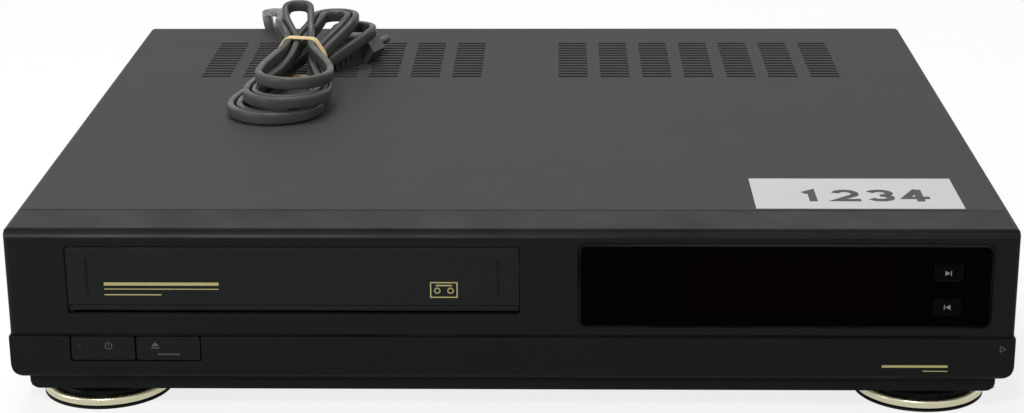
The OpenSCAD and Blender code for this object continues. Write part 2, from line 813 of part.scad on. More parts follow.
// Ribbed thumb knob for the tracking control
module tracking_knob() color(col_key) at_face() difference() {
    union() {
        bar_d(knob_x, knob_z, 6.6, 12, knob_r);
        bar_d(knob_x, knob_z, 6, 6.7, knob_r - 0.6);
        bar_d(knob_x, knob_z, 11.9, key_flange_d + 1, knob_shaft_r);
    }
    for (i = [0:23]) {
        translate([knob_x, 0, knob_z]) rotate([0, i * 15, 0]) bar_d(knob_r + 0.25, 0, 5, 11, 0.5);
    }
    block([knob_x - 0.5, 5, knob_z + 2], [knob_x + 0.5, 6.5, knob_z + knob_r]);
}

// Tact switch body with its plunger, facing the key in front of it
module tact_switch(x, z, tip, back) {
    block([x - 3, tip + 0.8, z - 3], [x + 3, back + 0.1, z + 3]);
    bar_d(x, z, tip, tip + 1, 1.6);
}

module control_board() color(col_board) at_face() {
    x1 = knob_x + 30;
    block([-half_w + 14, control_board_d, door_z0 - 0.5], [x1, control_board_d + board_t, face_z0]);
    for (i = [0:1]) {
        tact_switch(front_keys_x0 + (0.25 + i * 0.5) * front_keys_w, front_keys_z0 + 5,
            switch_d, control_board_d);
    }
    for (i = [0:5]) {
        tact_switch(transport_x0 + i * transport_pitch + transport_w / 2,
            transport_z0 + transport_h / 2, switch_d, control_board_d);
    }
    block([knob_x - 6, key_flange_d + 1.3, knob_z - 6], [knob_x + 6, control_board_d + 0.1, knob_z + 6]);
    block([x1 - 16, control_board_d + 1.4, door_z0 + 4], [x1 - 4, control_board_d + 8, door_z0 + 10]);
}

module display_board() color(col_board) at_face() {
    d = display_board_d;
    block([window_x0 - 10, d, window_z0 - 0.6], [half_w - panel_t - 0.6, d + board_t, window_z1 + 0.8]);
    for (z = [search_back_z, search_forward_z]) {
        tact_switch(search_x0 + search_w / 2, z + search_h / 2, d - 3.6, d);
    }
    block([window_x0 + 20, d + 1.4, window_z0 + 8], [window_x0 + 52, d + 4.6, window_z0 + 18]);
    block([window_x0 + 70, d + 1.4, window_z0 + 4], [window_x0 + 100, d + 9, window_z0 + 9]);
}

// Flat glass display tube behind the window
module display_tube() color([0.2, 0.28, 0.28]) at_face() {
    x0 = window_x0 + 22;
    x1 = search_x0 - 22;
    block([x0, 7, window_z0 + 9], [x1, 9.6, window_z1 - 8]);
    block([x0 + 2, 9.5, window_z0 + 11], [x1 - 2, 12, window_z1 - 10]);
    bar_d(x1 - 6, window_z0 + 14, 11.9, 13, 1.6);
    for (i = [0:19]) {
        x = x0 + 5 + i * (x1 - x0 - 10) / 19;
        block([x - 0.25, 8.2, window_z0 + 7.4], [x + 0.25, 8.8, window_z0 + 9.2]);
        block([x - 0.25, 8.2, window_z0 + 6.9], [x + 0.25, display_board_d - 0.2, window_z0 + 7.5]);
    }
}

// Side bracket of the loader: flanged plate, guide studs and shaft bearing
module loader_bracket(s) color(col_steel) at_face() translate([loader_x, 0, 0]) {
    in_x = s < 0 ? -bracket_out : bracket_in;
    out_x = s < 0 ? -bracket_in : bracket_out;
    difference() {
        union() {
            along_x(in_x, out_x) soft_rect([bracket_d0, deck_z], [bracket_d1, bracket_z1], 2);
            block([s < 0 ? -bracket_out : rack_in - 3, bracket_d0 + 2, bracket_z1 - bracket_t],
                [s < 0 ? -rack_in + 3 : bracket_out, bracket_d1 - 2, bracket_z1]);
            block([s < 0 ? -bracket_out - 6 : bracket_in, bracket_d0 + 20, deck_z],
                [s < 0 ? -bracket_in : bracket_out + 6, bracket_d1 - 2, deck_z + bracket_t]);
            for (d = rack_studs) {
                bar_x(s < 0 ? -bracket_out + 0.5 : rack_in - 0.5,
                    s < 0 ? -rack_in + 0.5 : bracket_out - 0.5, d, stud_z, stud_r);
                bar_x(s < 0 ? -rack_in + 0.3 : rack_in - 1.2,
                    s < 0 ? -rack_in + 1.2 : rack_in - 0.3, d, stud_z, stud_r + 1.4);
            }
        }
        bar_x(in_x - 1, out_x + 1, shaft_d, shaft_z, shaft_r + fit_gap);
        along_x(in_x - 1, out_x + 1) {
            soft_rect([bracket_d0 + 12, deck_z + 8], [bracket_d0 + 52, stud_z - 12], 4);
            soft_rect([bracket_d0 + 60, deck_z + 8], [bracket_d0 + 104, stud_z - 12], 4);
            soft_rect([shaft_d + 16, deck_z + 8], [bracket_d1 - 8, stud_z - 6], 4);
        }
    }
}

module loader_bracket_left() loader_bracket(-1);
module loader_bracket_right() loader_bracket(1);

// Cross plate that ties the two brackets together
module loader_bridge() color(col_steel) at_face() translate([loader_x, 0, 0]) difference() {
    block([-bracket_out, 56, bracket_z1], [bracket_out, 96, bracket_z1 + 1]);
    for (i = [-2:2]) translate([i * 36, 76, bracket_z1 - 1]) linear_extrude(3) {
        soft_rect([-12, -12], [12, 12], 3);
    }
}

// Sliding rack: slots for the carriage pins and guide studs, and teeth under its arm
module loader_rack(s) color([0.85, 0.84, 0.8]) at_face() translate([loader_x, 0, 0]) {
    root_z = shaft_z + pinion_r + tooth_ded;
    first = ceil((rack_d1 + 4 - shaft_d) / tooth_pitch - 0.5);
    last = floor((rack_arm_d1 - shaft_d) / tooth_pitch - 0.5);
    slot_r = carriage_pin_r + fit_gap;
    along_x(s < 0 ? -rack_out : rack_in, s < 0 ? -rack_in : rack_out) difference() {
        union() {
            soft_rect(
                [rack_d0, carriage_pin_z - drop_travel - 5], [rack_d1, rack_top], 1.5
            );
            translate([rack_d1 - 5, root_z]) square([rack_arm_d1 - rack_d1 + 5, rack_top - root_z]);
            for (k = [first:last]) translate([shaft_d + (k + 0.5) * tooth_pitch, root_z]) {
                rack_tooth();
            }
        }
        for (d = carriage_pins) {
            soft_rect(
                [d - slot_r, carriage_pin_z - drop_travel - slot_r],
                [d + slot_r, carriage_pin_z + slot_r], slot_r - 0.01
            );
        }
        for (d = rack_studs) {
            soft_rect(
                [d - load_travel - stud_r - 0.2, stud_z - stud_r - fit_gap],
                [d + stud_r + 0.2, stud_z + stud_r + fit_gap], stud_r
            );
        }
    }
}

module rack_tooth() {
    root = tooth_half + tooth_ded * tooth_slope;
    tip = tooth_half - tooth_add * tooth_slope;
    reach = tooth_add + tooth_ded;
    polygon([[-root, 0.1], [-root, 0], [-tip, -reach], [tip, -reach], [root, 0], [root, 0.1]]);
}

module loader_rack_left() loader_rack(-1);
module loader_rack_right() loader_rack(1);

// Toothed pinion outline; one tooth points at the rack above
module pinion_outline() {
    root_r = pinion_r - tooth_ded;
    root = tooth_half + tooth_ded * tooth_slope;
    tip = tooth_half - tooth_add * tooth_slope;
    circle(r = root_r, $fn = 64);
    for (i = [0:pinion_teeth - 1]) rotate(i * 360 / pinion_teeth) polygon([
        [-root, root_r - 0.4], [-root, root_r], [-tip, pinion_r + tooth_add],
        [tip, pinion_r + tooth_add], [root, root_r], [root, root_r - 0.4]
    ]);
}

module loader_shaft() color([0.9, 0.89, 0.85]) at_face() translate([loader_x, 0, 0]) {
    bar_x(-bracket_out - 2, bracket_out + 7.5, shaft_d, shaft_z, shaft_r);
    for (s = [-1, 1]) {
        x0 = s < 0 ? -rack_out - 0.2 : rack_in - 0.4;
        translate([0, shaft_d, shaft_z]) along_x(x0, x0 + rack_t + 0.6) pinion_outline();
        bar_x(s < 0 ? -rack_in + 0.3 : rack_in - 4, s < 0 ? -rack_in + 4 : rack_in - 0.3,
            shaft_d, shaft_z, shaft_r + 1.5);
    }
}

// Geared motor on the right bracket that turns the shaft
module loading_motor() color(col_cast) at_face() translate([loader_x, 0, 0]) difference() {
    x0 = bracket_out + seam;
    union() {
        along_x(x0, x0 + 14) soft_rect([shaft_d - 17, shaft_z - 18], [shaft_d + 17, shaft_z + 14], 4);
        bar_d(x0 + 11, shaft_z - 8, shaft_d - 45, shaft_d - 16, 10);
        bar_d(x0 + 11, shaft_z - 8, shaft_d - 47, shaft_d - 44, 3);
    }
    bar_x(x0 - 1, x0 + 9, shaft_d, shaft_z, shaft_r + fit_gap);
    for (d = [-12, 12]) bar_x(x0 + 10, x0 + 20, shaft_d + d, shaft_z + 9, 1.6);
}

// Cassette carriage: ledges, side walls, sprung top plate and four guide pins
module cassette_carriage() color(col_steel) at_face() translate([loader_x, 0, 0]) {
    ledge_w = 14;
    side_z0 = ledge_z - carriage_t;
    top = carriage_top_z;
    for (s = [-1, 1]) {
        block([s < 0 ? -carriage_half - carriage_t : carriage_half, carriage_d0, side_z0],
            [s < 0 ? -carriage_half : carriage_half + carriage_t, carriage_d1, top + carriage_t]);
        block([s < 0 ? -carriage_half - 0.5 : carriage_half - ledge_w, carriage_d0, side_z0],
            [s < 0 ? -carriage_half + ledge_w : carriage_half + 0.5, carriage_d1, ledge_z]);
        block([s < 0 ? -carriage_half + 2 : carriage_half - 12, carriage_d1 - carriage_t, side_z0],
            [s < 0 ? -carriage_half + 12 : carriage_half - 2, carriage_d1, ledge_z + 6]);
        for (d = carriage_pins) {
            bar_x(s < 0 ? -rack_out : carriage_half + 0.5, s < 0 ? -carriage_half - 0.5 : rack_out,
                d, carriage_pin_z, carriage_pin_r);
        }
    }
    difference() {
        block([-carriage_half - 0.5, carriage_d0, top], [carriage_half + 0.5, carriage_d1, top + carriage_t]);
        translate([0, 0, top - 1]) linear_extrude(4) {
            soft_rect([-78, carriage_d0 + 14], [-22, carriage_d1 - 12], 5);
            soft_rect([22, carriage_d0 + 14], [78, carriage_d1 - 12], 5);
            soft_rect([-14, carriage_d0 + 30], [14, carriage_d1 - 12], 5);
        }
    }
    for (s = [-1, 1]) along_x(s * 50 - 6, s * 50 + 6) polygon([
        [carriage_d0 + 12, top + carriage_t], [carriage_d0 + 12, top + 0.2],
        [carriage_d0 + 44, top - 0.7], [carriage_d0 + 47, top + 0.4],
        [carriage_d0 + 46, top + 0.9], [carriage_d0 + 43, top]
    ]);
}

// Stamped deck plate with its studs, capstan bearing and the arc slots of the guides
module deck_plate() color(col_steel) at_face() translate([loader_x, 0, 0]) difference() {
    union() {
        translate([0, 0, deck_z - deck_t]) linear_extrude(deck_t) {
            soft_rect([-deck_half, deck_d0], [deck_half, deck_d1], 6);
        }
        for (s = [-1, 1]) post(s * reel_pitch / 2, reel_d, deck_z - 1, deck_z + 9, reel_stud_r);
        for (s = [-1, 1]) post(s * reel_pitch / 2, reel_d, deck_z - 1, deck_z + 0.6, 4);
        post(capstan_at.x, capstan_at.y, deck_z - 1, deck_z + 10, 6);
        post(pinch_pivot.x, pinch_pivot.y, deck_z - 1, deck_z + 30, pinch_stud_r);
        post(pinch_pivot.x, pinch_pivot.y, deck_z - 1, deck_z + 19.7, 4.5);
    }
    post(capstan_at.x, capstan_at.y, deck_z - 5, deck_z + 11, capstan_r + fit_gap);
    for (s = [-1, 1]) guide_slot(s);
    for (p = deck_posts) post(p.x - loader_x, p.y, deck_z - 3, deck_z + 1, 1.6);
    translate([0, 0, deck_z - 3]) linear_extrude(5) {
        soft_rect([-20, 60], [20, 118], 4);
        soft_rect([-98, 215], [-70, 245], 4);
    }
}

module guide_slot(s) {
    mirror([s < 0 ? 1 : 0, 0, 0]) translate([guide_centre.x, guide_centre.y, deck_z - 3]) {
        rotate_extrude(angle = guide_turn, start = guide_start, $fn = 96) {
            translate([guide_arc_r - guide_foot_r - 0.4, 0]) square([2 * guide_foot_r + 0.8, 6]);
        }
        for (a = [guide_start, guide_start + guide_turn]) rotate(a) {
            translate([guide_arc_r, 0, 0]) cylinder(r = guide_foot_r + 0.4, h = 6, $fn = 32);
        }
    }
}

// Cast drum base with the fixed lower drum and its tape ledge
module drum_base() color(col_cast) at_face() translate([loader_x, drum_d, deck_z]) {
    cylinder(r = drum_r - 2, h = 5, $fn = 96);
    rotate([drum_lean, 0, 0]) translate([0, 0, 3.4]) {
        cylinder(r = drum_r - 1, h = 8, $fn = 96);
        translate([0, 0, 7.5]) cylinder(r = drum_r, h = 13, $fn = 96);
        translate([0, 0, 1]) cylinder(r = 3, h = 30, $fn = 48);
    }
}

// Spinning upper drum: rim with a head window groove, hub and top flange
module head_drum() color([0.78, 0.79, 0.8]) at_face() translate([loader_x, drum_d, deck_z]) {
    rotate([drum_lean, 0, 0]) translate([0, 0, 24.4]) difference() {
        rotate_extrude($fn = 96) difference() {
            union() {
                translate([3.1, 0]) square([drum_r - 3.1, 3]);
                translate([drum_r - 4, 0]) square([4, 17]);
                translate([3.1, 0]) square([8, 12]);
                translate([3.1, 10]) square([12, 3]);
            }
            translate([drum_r - 0.4, 2]) square([1, 0.6]);
        }
        for (a = [0, 180]) rotate(a) translate([drum_r - 2, -1.5, -1]) cube([3, 3, 2.4]);
        for (a = [45:90:315]) rotate(a) translate([12.4, 0, 9]) cylinder(r = 1.2, h = 6, $fn = 24);
    }
}

// Sliding tape guide: foot in its slot, base, upright roller and leaning post
module tape_guide(s) color(col_steel) at_face() translate([loader_x, 0, 0]) {
    mirror([s < 0 ? 1 : 0, 0, 0]) translate([guide_centre.x, guide_centre.y, deck_z]) {
        rotate(guide_start) translate([guide_arc_r, 0, 0]) {
            translate([0, 0, -deck_t - 0.3]) cylinder(r = guide_foot_r, h = 3, $fn = 32);
            translate([0, 0, 0.3]) cylinder(r = guide_base_r, h = 3.4, $fn = 48);
            translate([0, 0, 3]) cylinder(r = 2, h = 21, $fn = 32);
            translate([0, 0, 5]) cylinder(r = 3, h = 16, $fn = 32);
            for (z = [4.2, 21]) translate([0, 0, z]) cylinder(r = 3.7, h = 1, $fn = 32);
            translate([-3.4, 3, 3]) rotate([14, 0, 0]) cylinder(r = 1, h = 17, $fn = 24);
        }
    }
}

module tape_guide_left() tape_guide(-1);
module tape_guide_right() tape_guide(1);

// Capstan shaft pressed in its flywheel
module capstan() color([0.72, 0.72, 0.74]) at_face() translate([loader_x, 0, 0]) {
    translate([capstan_at.x, capstan_at.y, 0]) rotate_extrude($fn = 96) {
        translate([0, foot_h + 3]) square([capstan_r, deck_z + 25 - foot_h - 3]);
        translate([0, deck_z - deck_t - 7.5]) square([flywheel_r, 2]);
        translate([flywheel_r - 6, deck_z - deck_t - 7.5]) square([6, 5.7]);
        translate([0, deck_z - deck_t - 7.5]) square([7, 6.5]);
    }
}

// Arm that swings the roller against the capstan, drawn at rest
module pinch_arm() color(col_cast) at_face() translate([loader_x, 0, 0]) {
    at_pinch() difference() {
        union() {
            translate([0, 0, deck_z + 20]) cylinder(r = 4.5, h = 9, $fn = 48);
            translate([0, 0, deck_z + 27]) linear_extrude(2) {
                circle(r = 4.5, $fn = 48);
                translate([pinch_reach(), 0]) circle(r = 4, $fn = 48);
                translate([0, -3]) square([pinch_reach(), 6]);
            }
            translate([pinch_reach(), 0, deck_z + 10.6]) cylinder(r = roller_pin_r, h = 17, $fn = 32);
        }
        translate([0, 0, deck_z + 19]) cylinder(r = pinch_stud_r + fit_gap, h = 11, $fn = 32);
    }
}

function pinch_reach() = norm(pinch_engaged - pinch_pivot);

// Frame of the pinch arm at rest, with X along the arm
module at_pinch() {
    v = pinch_engaged - pinch_pivot;
    translate([pinch_pivot.x, pinch_pivot.y, 0]) rotate(atan2(v.y, v.x) - pinch_turn) children();
}

module pinch_roller() color(col_black) at_face() translate([loader_x, 0, 0]) {
    at_pinch() translate([pinch_reach(), 0, deck_z + 11]) rotate_extrude($fn = 64) {
        translate([roller_pin_r + fit_gap, 0]) square([pinch_r - roller_pin_r - fit_gap, 15]);
        translate([roller_pin_r + fit_gap, 0]) square([1.4, 15.7]);
    }
}

// Reel table with a splined spindle and a coned tip
module reel_table(s) color(col_black) at_face() {
    translate([loader_x + s * reel_pitch / 2, reel_d, deck_z + 0.8]) difference() {
        union() {
            cylinder(r = reel_r, h = 3, $fn = 96);
            cylinder(r = reel_r - 4, h = 3.4, $fn = 64);
            cylinder(r = 7.5, h = 12, $fn = 64);
            translate([0, 0, 12]) cylinder(r1 = 7.5, r2 = 3, h = 4, $fn = 64);
            for (a = [0:60:300]) rotate(a) translate([6.5, -0.9, 3]) cube([3.4, 1.8, 8]);
        }
        translate([0, 0, -1]) cylinder(r = reel_stud_r + fit_gap, h = 11, $fn = 48);
    }
}

module supply_reel() reel_table(-1);
module takeup_reel() reel_table(1);

// Full-width erase head and the sound and control head, on their posts
module fixed_heads() color(col_cast) at_face() translate([loader_x, 0, 0]) {
    for (x = [-62, 49]) {
        block([x - 5, 153, deck_z], [x + 5, 159, deck_z + 2]);
        post(x, 156, deck_z, deck_z + 6, 2.6);
        block([x - 4.5, 153.2, deck_z + 5.5], [x + 4.5, 158.8, deck_z + 22]);
        bar_d(x, deck_z + 13.7, 152.2, 153.6, 2.4);
    }
}

// Main circuit board with its larger components
module main_board() color(col_board) at_face() {
    z = board_z;
    top = z + board_t - 0.1;
    block([board_x0, 30, z], [board_x1, body_d - 8, z + board_t]);
    for (i = [0:3], j = [0:1]) {
        x = board_x0 + 36 + i * 36;
        block([x, 60 + j * 40, top], [x + 20, 76 + j * 40, top + 4]);
    }
    for (i = [0:4]) post(board_x0 + 40 + i * 28, 46, top, top + 14, 5);
    for (i = [0:3]) post(board_x0 + 52 + i * 32, 150, top, top + 18, 6);
    block([board_x0 + 36, 180, top], [board_x1 - 20, 250, top + 14]);
    for (i = [0:2]) post(board_x0 + 56 + i * 34, 270, top, top + 11, 4.5);
}

// Power board: capacitors, fuse, and a finned heat sink on its front edge
module power_board() color(col_board) at_face() {
    z = board_z;
    top = z + board_t - 0.1;
    block([power_x0, power_d0, z], [power_x1, body_d - 12, z + board_t]);
    for (i = [0:1]) post(power_x0 + 20 + i * 22, power_d0 + 40, top, top + 26, 8);
    block([power_x1 - 30, power_d0 + 50, top], [power_x1 - 8, power_d0 + 58, top + 9]);
    block([power_x0 + 12, power_d0 + 6, top], [power_x1 - 12, power_d0 + 9, top + 40]);
    for (i = [0:9]) {
        x = power_x0 + 14 + i * 8.8;
        block([x, power_d0 + 8.5, top], [x + 1.4, power_d0 + 20, top + 40]);
    }
}

// Laminated transformer with windings and feet
module power_transformer() color([0.42, 0.38, 0.3]) at_face() {
    x0 = -half_w + 18;
    d0 = body_d - 78;
    z0 = foot_h + sheet_t;
    difference() {
        block([x0, d0 + 8, z0 + 2], [x0 + 54, d0 + 34, z0 + 46]);
        for (x = [x0 + 9, x0 + 36]) block([x, d0 + 7, z0 + 11], [x + 9, d0 + 35, z0 + 37]);
    }
    block([x0 + 9.5, d0, z0 + 11.5], [x0 + 44.5, d0 + 42, z0 + 36.5]);
    block([x0 - 4, d0 + 10, z0], [x0 + 58, d0 + 32, z0 + 2.2]);
}

// Screened tuner can with two aerial sockets through the rear panel
module tuner_module() color(col_steel) at_face() difference() {
    z0 = board_z + board_t + seam;
    x0 = tuner_x[0] - 14;
    x1 = tuner_x[1] + 14;
    union() {
        block([x0, body_d - 70, z0], [x1, rear_d - seam, tuner_z + 16]);
        for (x = tuner_x) {
            bar_d(x, tuner_z, rear_d - 1, body_d + socket_reach, aerial_r + 1);
            bar_d(x, tuner_z, rear_d + rear_t + 0.2, rear_d + rear_t + 1.4, aerial_r + 2);
        }
    }
    for (x = tuner_x) bar_d(x, tuner_z, body_d - 4, body_d + socket_reach + 1, aerial_r);
    for (i = [0:5]) {
        block([x0 + 6 + i * 8, body_d - 62, tuner_z + 14], [x0 + 9 + i * 8, body_d - 20, tuner_z + 18]);
    }
}

// Upright board that carries the sockets at the rear
module socket_board() color(col_board) at_face() {
    block([av_x - 14, rear_d - 19, board_z + board_t + seam],
        [av_x + 2 * av_pitch + 14, rear_d - 19 + board_t, scart_z + 12]);
}

// Six phono sockets in one moulding and the 21-way socket above it
module av_sockets() color(col_black) at_face() difference() {
    d0 = rear_d - 19 + board_t + 0.1;
    union() {
        block([av_x - 9, d0, av_rows[0] - 8], [av_x + 2 * av_pitch + 9, rear_d - seam, av_rows[1] + 8]);
        for (i = [0:2], z = av_rows) {
            bar_d(av_x + i * av_pitch, z, rear_d - 2, body_d + 6, phono_r);
            bar_d(av_x + i * av_pitch, z, rear_d - 2, rear_d + rear_t + 1, phono_r + 1);
        }
        facing(d0, body_d + 1) soft_rect(
            [scart_x - scart_w / 2, scart_z - scart_h / 2],
            [scart_x + scart_w / 2, scart_z + scart_h / 2], 1
        );
        block([scart_x - scart_w / 2, d0, av_rows[1] + 7.5], [scart_x + scart_w / 2, d0 + 8, scart_z]);
    }
    for (i = [0:2], z = av_rows) bar_d(av_x + i * av_pitch, z, body_d - 6, body_d + 8, 1.6);
    facing(body_d - 8, body_d + 2) polygon([
        [scart_x - 20, scart_z - 5], [scart_x + 17, scart_z - 5], [scart_x + 20, scart_z - 2],
        [scart_x + 20, scart_z + 5], [scart_x - 20, scart_z + 5]
    ]);
}

// Moulded cord grommet with a ribbed, tapered strain relief
module cord_grommet() color(col_cord) at_face() {
    translate([gland_x, 0, gland_z]) rotate([-90, 0, 0]) rotate_extrude($fn = 48) {
        translate([0, rear_d - 2]) square([gland_r, 5]);
        translate([0, rear_d - 3]) square([gland_r + 1.6, 2.6]);
        translate([0, rear_d + rear_t + 0.2]) square([gland_r + 2, 1.8]);
        polygon([[0, rear_d + 2], [5.2, rear_d + 2], [3.9, relief_end - 2.4], [3.3, relief_end], [0, relief_end]]);
        for (i = [0:3]) translate([0, body_d + 4 + i * 3.6]) square([5.3 - i * 0.35, 1.8]);
    }
}

// Round numbers along the free stretch of the cord, as width, depth and height
LEAD_POINTS = [
    [-147, 380, 31.5], [-147, 388, 31.5], [-147, 397, 34], [-147, 404, 42], [-148, 406, 55],
    [-150, 402, 68], [-151, 394, 79], [-150, 382, 87], [-148, 370, 91], [-144, 356, 95],
    [-139, 341, 98], [-134, 325, 102], [-130, 310, 105], [-128.5, 296, 106.5],
    [-129.5, 283, 107.5], [-129.5, 272, 108.5]
];

// Shape of the hank seen from above, with one value for each row from the bottom up
hank_waist_x = -114;
hank_waist_d = 250;
hank_waist_r = 11.3;
hank_front_x = [-120, -115, -111];
hank_front_d = [182, 182, 190];
hank_front_r = 23.4;
hank_front_drop = 1;
hank_rear_x = [-90, -99, -119];
hank_rear_d = [280, 278, 272];
hank_rear_r = [13.5, 12.2, 14.6];
hank_rise_d = 280;
hank_start = 0.08;
hank_turn = 0.873;
row_change = 1.127;
run_share = 0.28;
front_share = 0.22;
band_t = 1;
band_w = 4;
band_yaw = -14;
hank_z = body_h + band_t + 2 * slide_gap + cord_w / 2;

// Smooth step from 0 to 1 as t goes from 0 to 1
function ease(t) = let (c = min(1, max(0, t))) c * c * (3 - 2 * c);

// Value between the rows of a list
function by_row(list, row) =
    list[0] + (list[1] - list[0]) * min(1, row) + (list[2] - list[1]) * max(0, row - 1);

// Row number and inward step of the winding after t loops, starting at the top
function hank_row_at(t) = 2 - ease((t - row_change) / 0.13 + 0.5) - ease((t - row_change - 2) / 0.13 + 0.5);
function hank_inset(t) = let (u = t + hank_turn) hank_step * (u < 2 ? u : u < 4 ? 4 - u : u - 4);

// Centre of the cord in the hank after t loops
function hank_point(t) =
    let (
        f = t - floor(t),
        row = hank_row_at(t),
        inset = hank_inset(t),
        f2 = run_share + front_share,
        f3 = f2 + run_share,
        front_d = by_row(hank_front_d, row),
        rear_d = by_row(hank_rear_d, row),
        rear_r = by_row(hank_rear_r, row),
        angle = f < f2 ? 180 + 180 * (f - run_share) / front_share : 180 * (f - f3) / (1 - f3),
        span = rear_d - front_d,
        d = f < run_share ? rear_d - span * f / run_share
            : f < f2 ? front_d + (hank_front_r - inset) * sin(angle)
            : f < f3 ? front_d + span * (f - f2) / run_share
            : rear_d + (rear_r - inset) * sin(angle),
        front_part = ease((hank_waist_d - d) / (hank_waist_d - front_d)),
        rear_part = ease((d - hank_waist_d) / (rear_d - hank_waist_d)),
        half = hank_waist_r + (hank_front_r - hank_waist_r) * front_part
            + (rear_r - hank_waist_r) * rear_part,
        middle = hank_waist_x + (by_row(hank_front_x, row) - hank_waist_x) * front_part
            + (by_row(hank_rear_x, row) - hank_waist_x) * rear_part,
        side = f < run_share ? inset - half
            : f < f2 ? (hank_front_r - inset) * cos(angle)
            : f < f3 ? half - inset
            : (rear_r - inset) * cos(angle),
        lift = hank_lift * ease((d - hank_waist_d) / (hank_rise_d - hank_waist_d))
    )
    [middle + side, d, hank_z + hank_row * row + lift - hank_front_drop * front_part];

// Ring of points round a flat cord at a point of its path
function cord_ring(p, along, wide, sides) =
    let (
        t = along / norm(along),
        w0 = wide - (wide * t) * t,
        w = w0 / norm(w0),
        n = cross(t, w)
    )
    [for (i = [0:sides - 1]) p + cord_w / 2 * cos(i * 360 / sides) * w
        + cord_t / 2 * sin(i * 360 / sides) / cos(sides == 6 ? 30 : 0) * n];

// One closed tube through rings of points
module ring_tube(rings) {
    sides = len(rings[0]);
    count = len(rings);
    points = [for (r = rings, p = r) p];
    polyhedron(points, concat(
        [for (i = [0:count - 2], j = [0:sides - 1], k = [0:1])
            let (a = i * sides + j, b = i * sides + (j + 1) % sides)
            k == 0 ? [a, b, b + sides] : [a, b + sides, a + sides]],
        [for (j = [1:sides - 2]) [0, j + 1, j]],
        [for (j = [1:sides - 2]) let (e = (count - 1) * sides) [e, e + j, e + j + 1]]
    ), convexity = 8);
}

// Way of the lead from the strain relief to the start of the hank
function hank_lead_end() = hank_point(hank_start);
function hank_lead_heading() = let (v = hank_point(hank_start + 0.02) - hank_lead_end()) v / norm(v);
function lead_path() = concat(
    LEAD_POINTS, [hank_point(hank_start - 0.05), hank_point(hank_start - 0.025), hank_lead_end()]
);

// Point on the smooth curve through a list of points
function spline(p, i, t) =
    let (
        a = p[max(i - 1, 0)], b = p[i], c = p[i + 1], e = p[min(i + 2, len(p) - 1)]
    )
    0.5 * (2 * b + (c - a) * t + (2 * a - 5 * b + 4 * c - e) * t * t + (3 * b - a - 3 * c + e) * t * t * t);

// Free stretch of the cord from the strain relief to the hank
module mains_lead() color(col_cord) at_face() {
    p = lead_path();
    last = len(p) - 1;
    ring_tube([for (i = [0:last])
        cord_ring(p[i],
            i == 0 ? [0, 1, 0] : i == last ? hank_lead_heading() : p[i + 1] - p[i - 1],
            [cos(lead_twist(i, last)), 0, sin(lead_twist(i, last))], 8)
    ]);
}

// Turn of the flat cord along the lead, so that it enters the hank on edge
function lead_twist(i, last) = 90 * ease((i - 7) / (last - 8));

// Direction in which the cord leaves the hank for the plug
plug_yaw = 24;
plug_heading = [sin(plug_yaw), cos(plug_yaw), 0];
function hank_end() = hank_point(hank_loops) + cord_w * plug_heading;

// Points along the middle of the hank, with a straight last step towards the plug
function hank_path(n) = concat(
    [for (i = [0:n]) hank_point(hank_start + (hank_loops - hank_start) * i / n)], [hank_end()]
);

// The hank as one unbroken tube
module mains_hank() color(col_cord) at_face() {
    path = hank_path(ceil(24 * (hank_loops - hank_start)));
    last = len(path) - 1;
    ring_tube([for (i = [0:last])
        cord_ring(path[i],
            i == 0 ? hank_lead_heading() : i == last ? plug_heading : path[i + 1] - path[i - 1],
            [0, 0, 1], 6)
    ]);
}

// Least gap between neighbouring turns, measured between fine points of the path
function flat_gap(a, b) =
    let (
        v = b - a,
        level = norm([v.x, v.y]),
        reach = norm(v),
        share = level / reach,
        rise = abs(v.z) / reach
    )
    reach - 1 / sqrt(pow(share / cord_t, 2) + pow(rise / cord_w, 2));
function hank_gap() =
    let (
        n = ceil(64 * (hank_loops - hank_start)),
        p = hank_path(n)
    )
    min([for (i = [0:n], j = [i + 20:1:n + 1])
        if (norm(p[i] - p[j]) < 3 * cord_w) flat_gap(p[i], p[j])]);

// Length of a chain of points
function path_length(p) = [for (i = [1:len(p) - 1]) norm(p[i] - p[i - 1])]
    * [for (i = [1:len(p) - 1]) 1];
function lead_curve() = [for (i = [0:len(lead_path()) - 2], k = [0:5]) spline(lead_path(), i, k / 6)];
echo(least_gap_in_hank = hank_gap());
echo(cord_length = path_length(lead_curve()) + path_length(hank_path(450)));

// Rubber band round the waist of the hank
module cord_band() color([0.8, 0.68, 0.48]) at_face() {
    inner = [hank_waist_r + cord_t / 2 + slide_gap + 0.3 + band_w * sin(-band_yaw), cord_w / 2 + slide_gap];
    low = hank_z - inner.y;
    high = hank_z + 2 * hank_row + inner.y;
    translate([hank_waist_x, hank_waist_d - 2, 0]) rotate(band_yaw) {
        facing(-band_w / 2, band_w / 2) difference() {
            soft_rect([-inner.x - band_t, low - band_t], [inner.x + band_t, high + band_t], 3);
            soft_rect([-inner.x, low], [inner.x, high], 2);
        }
    }
}

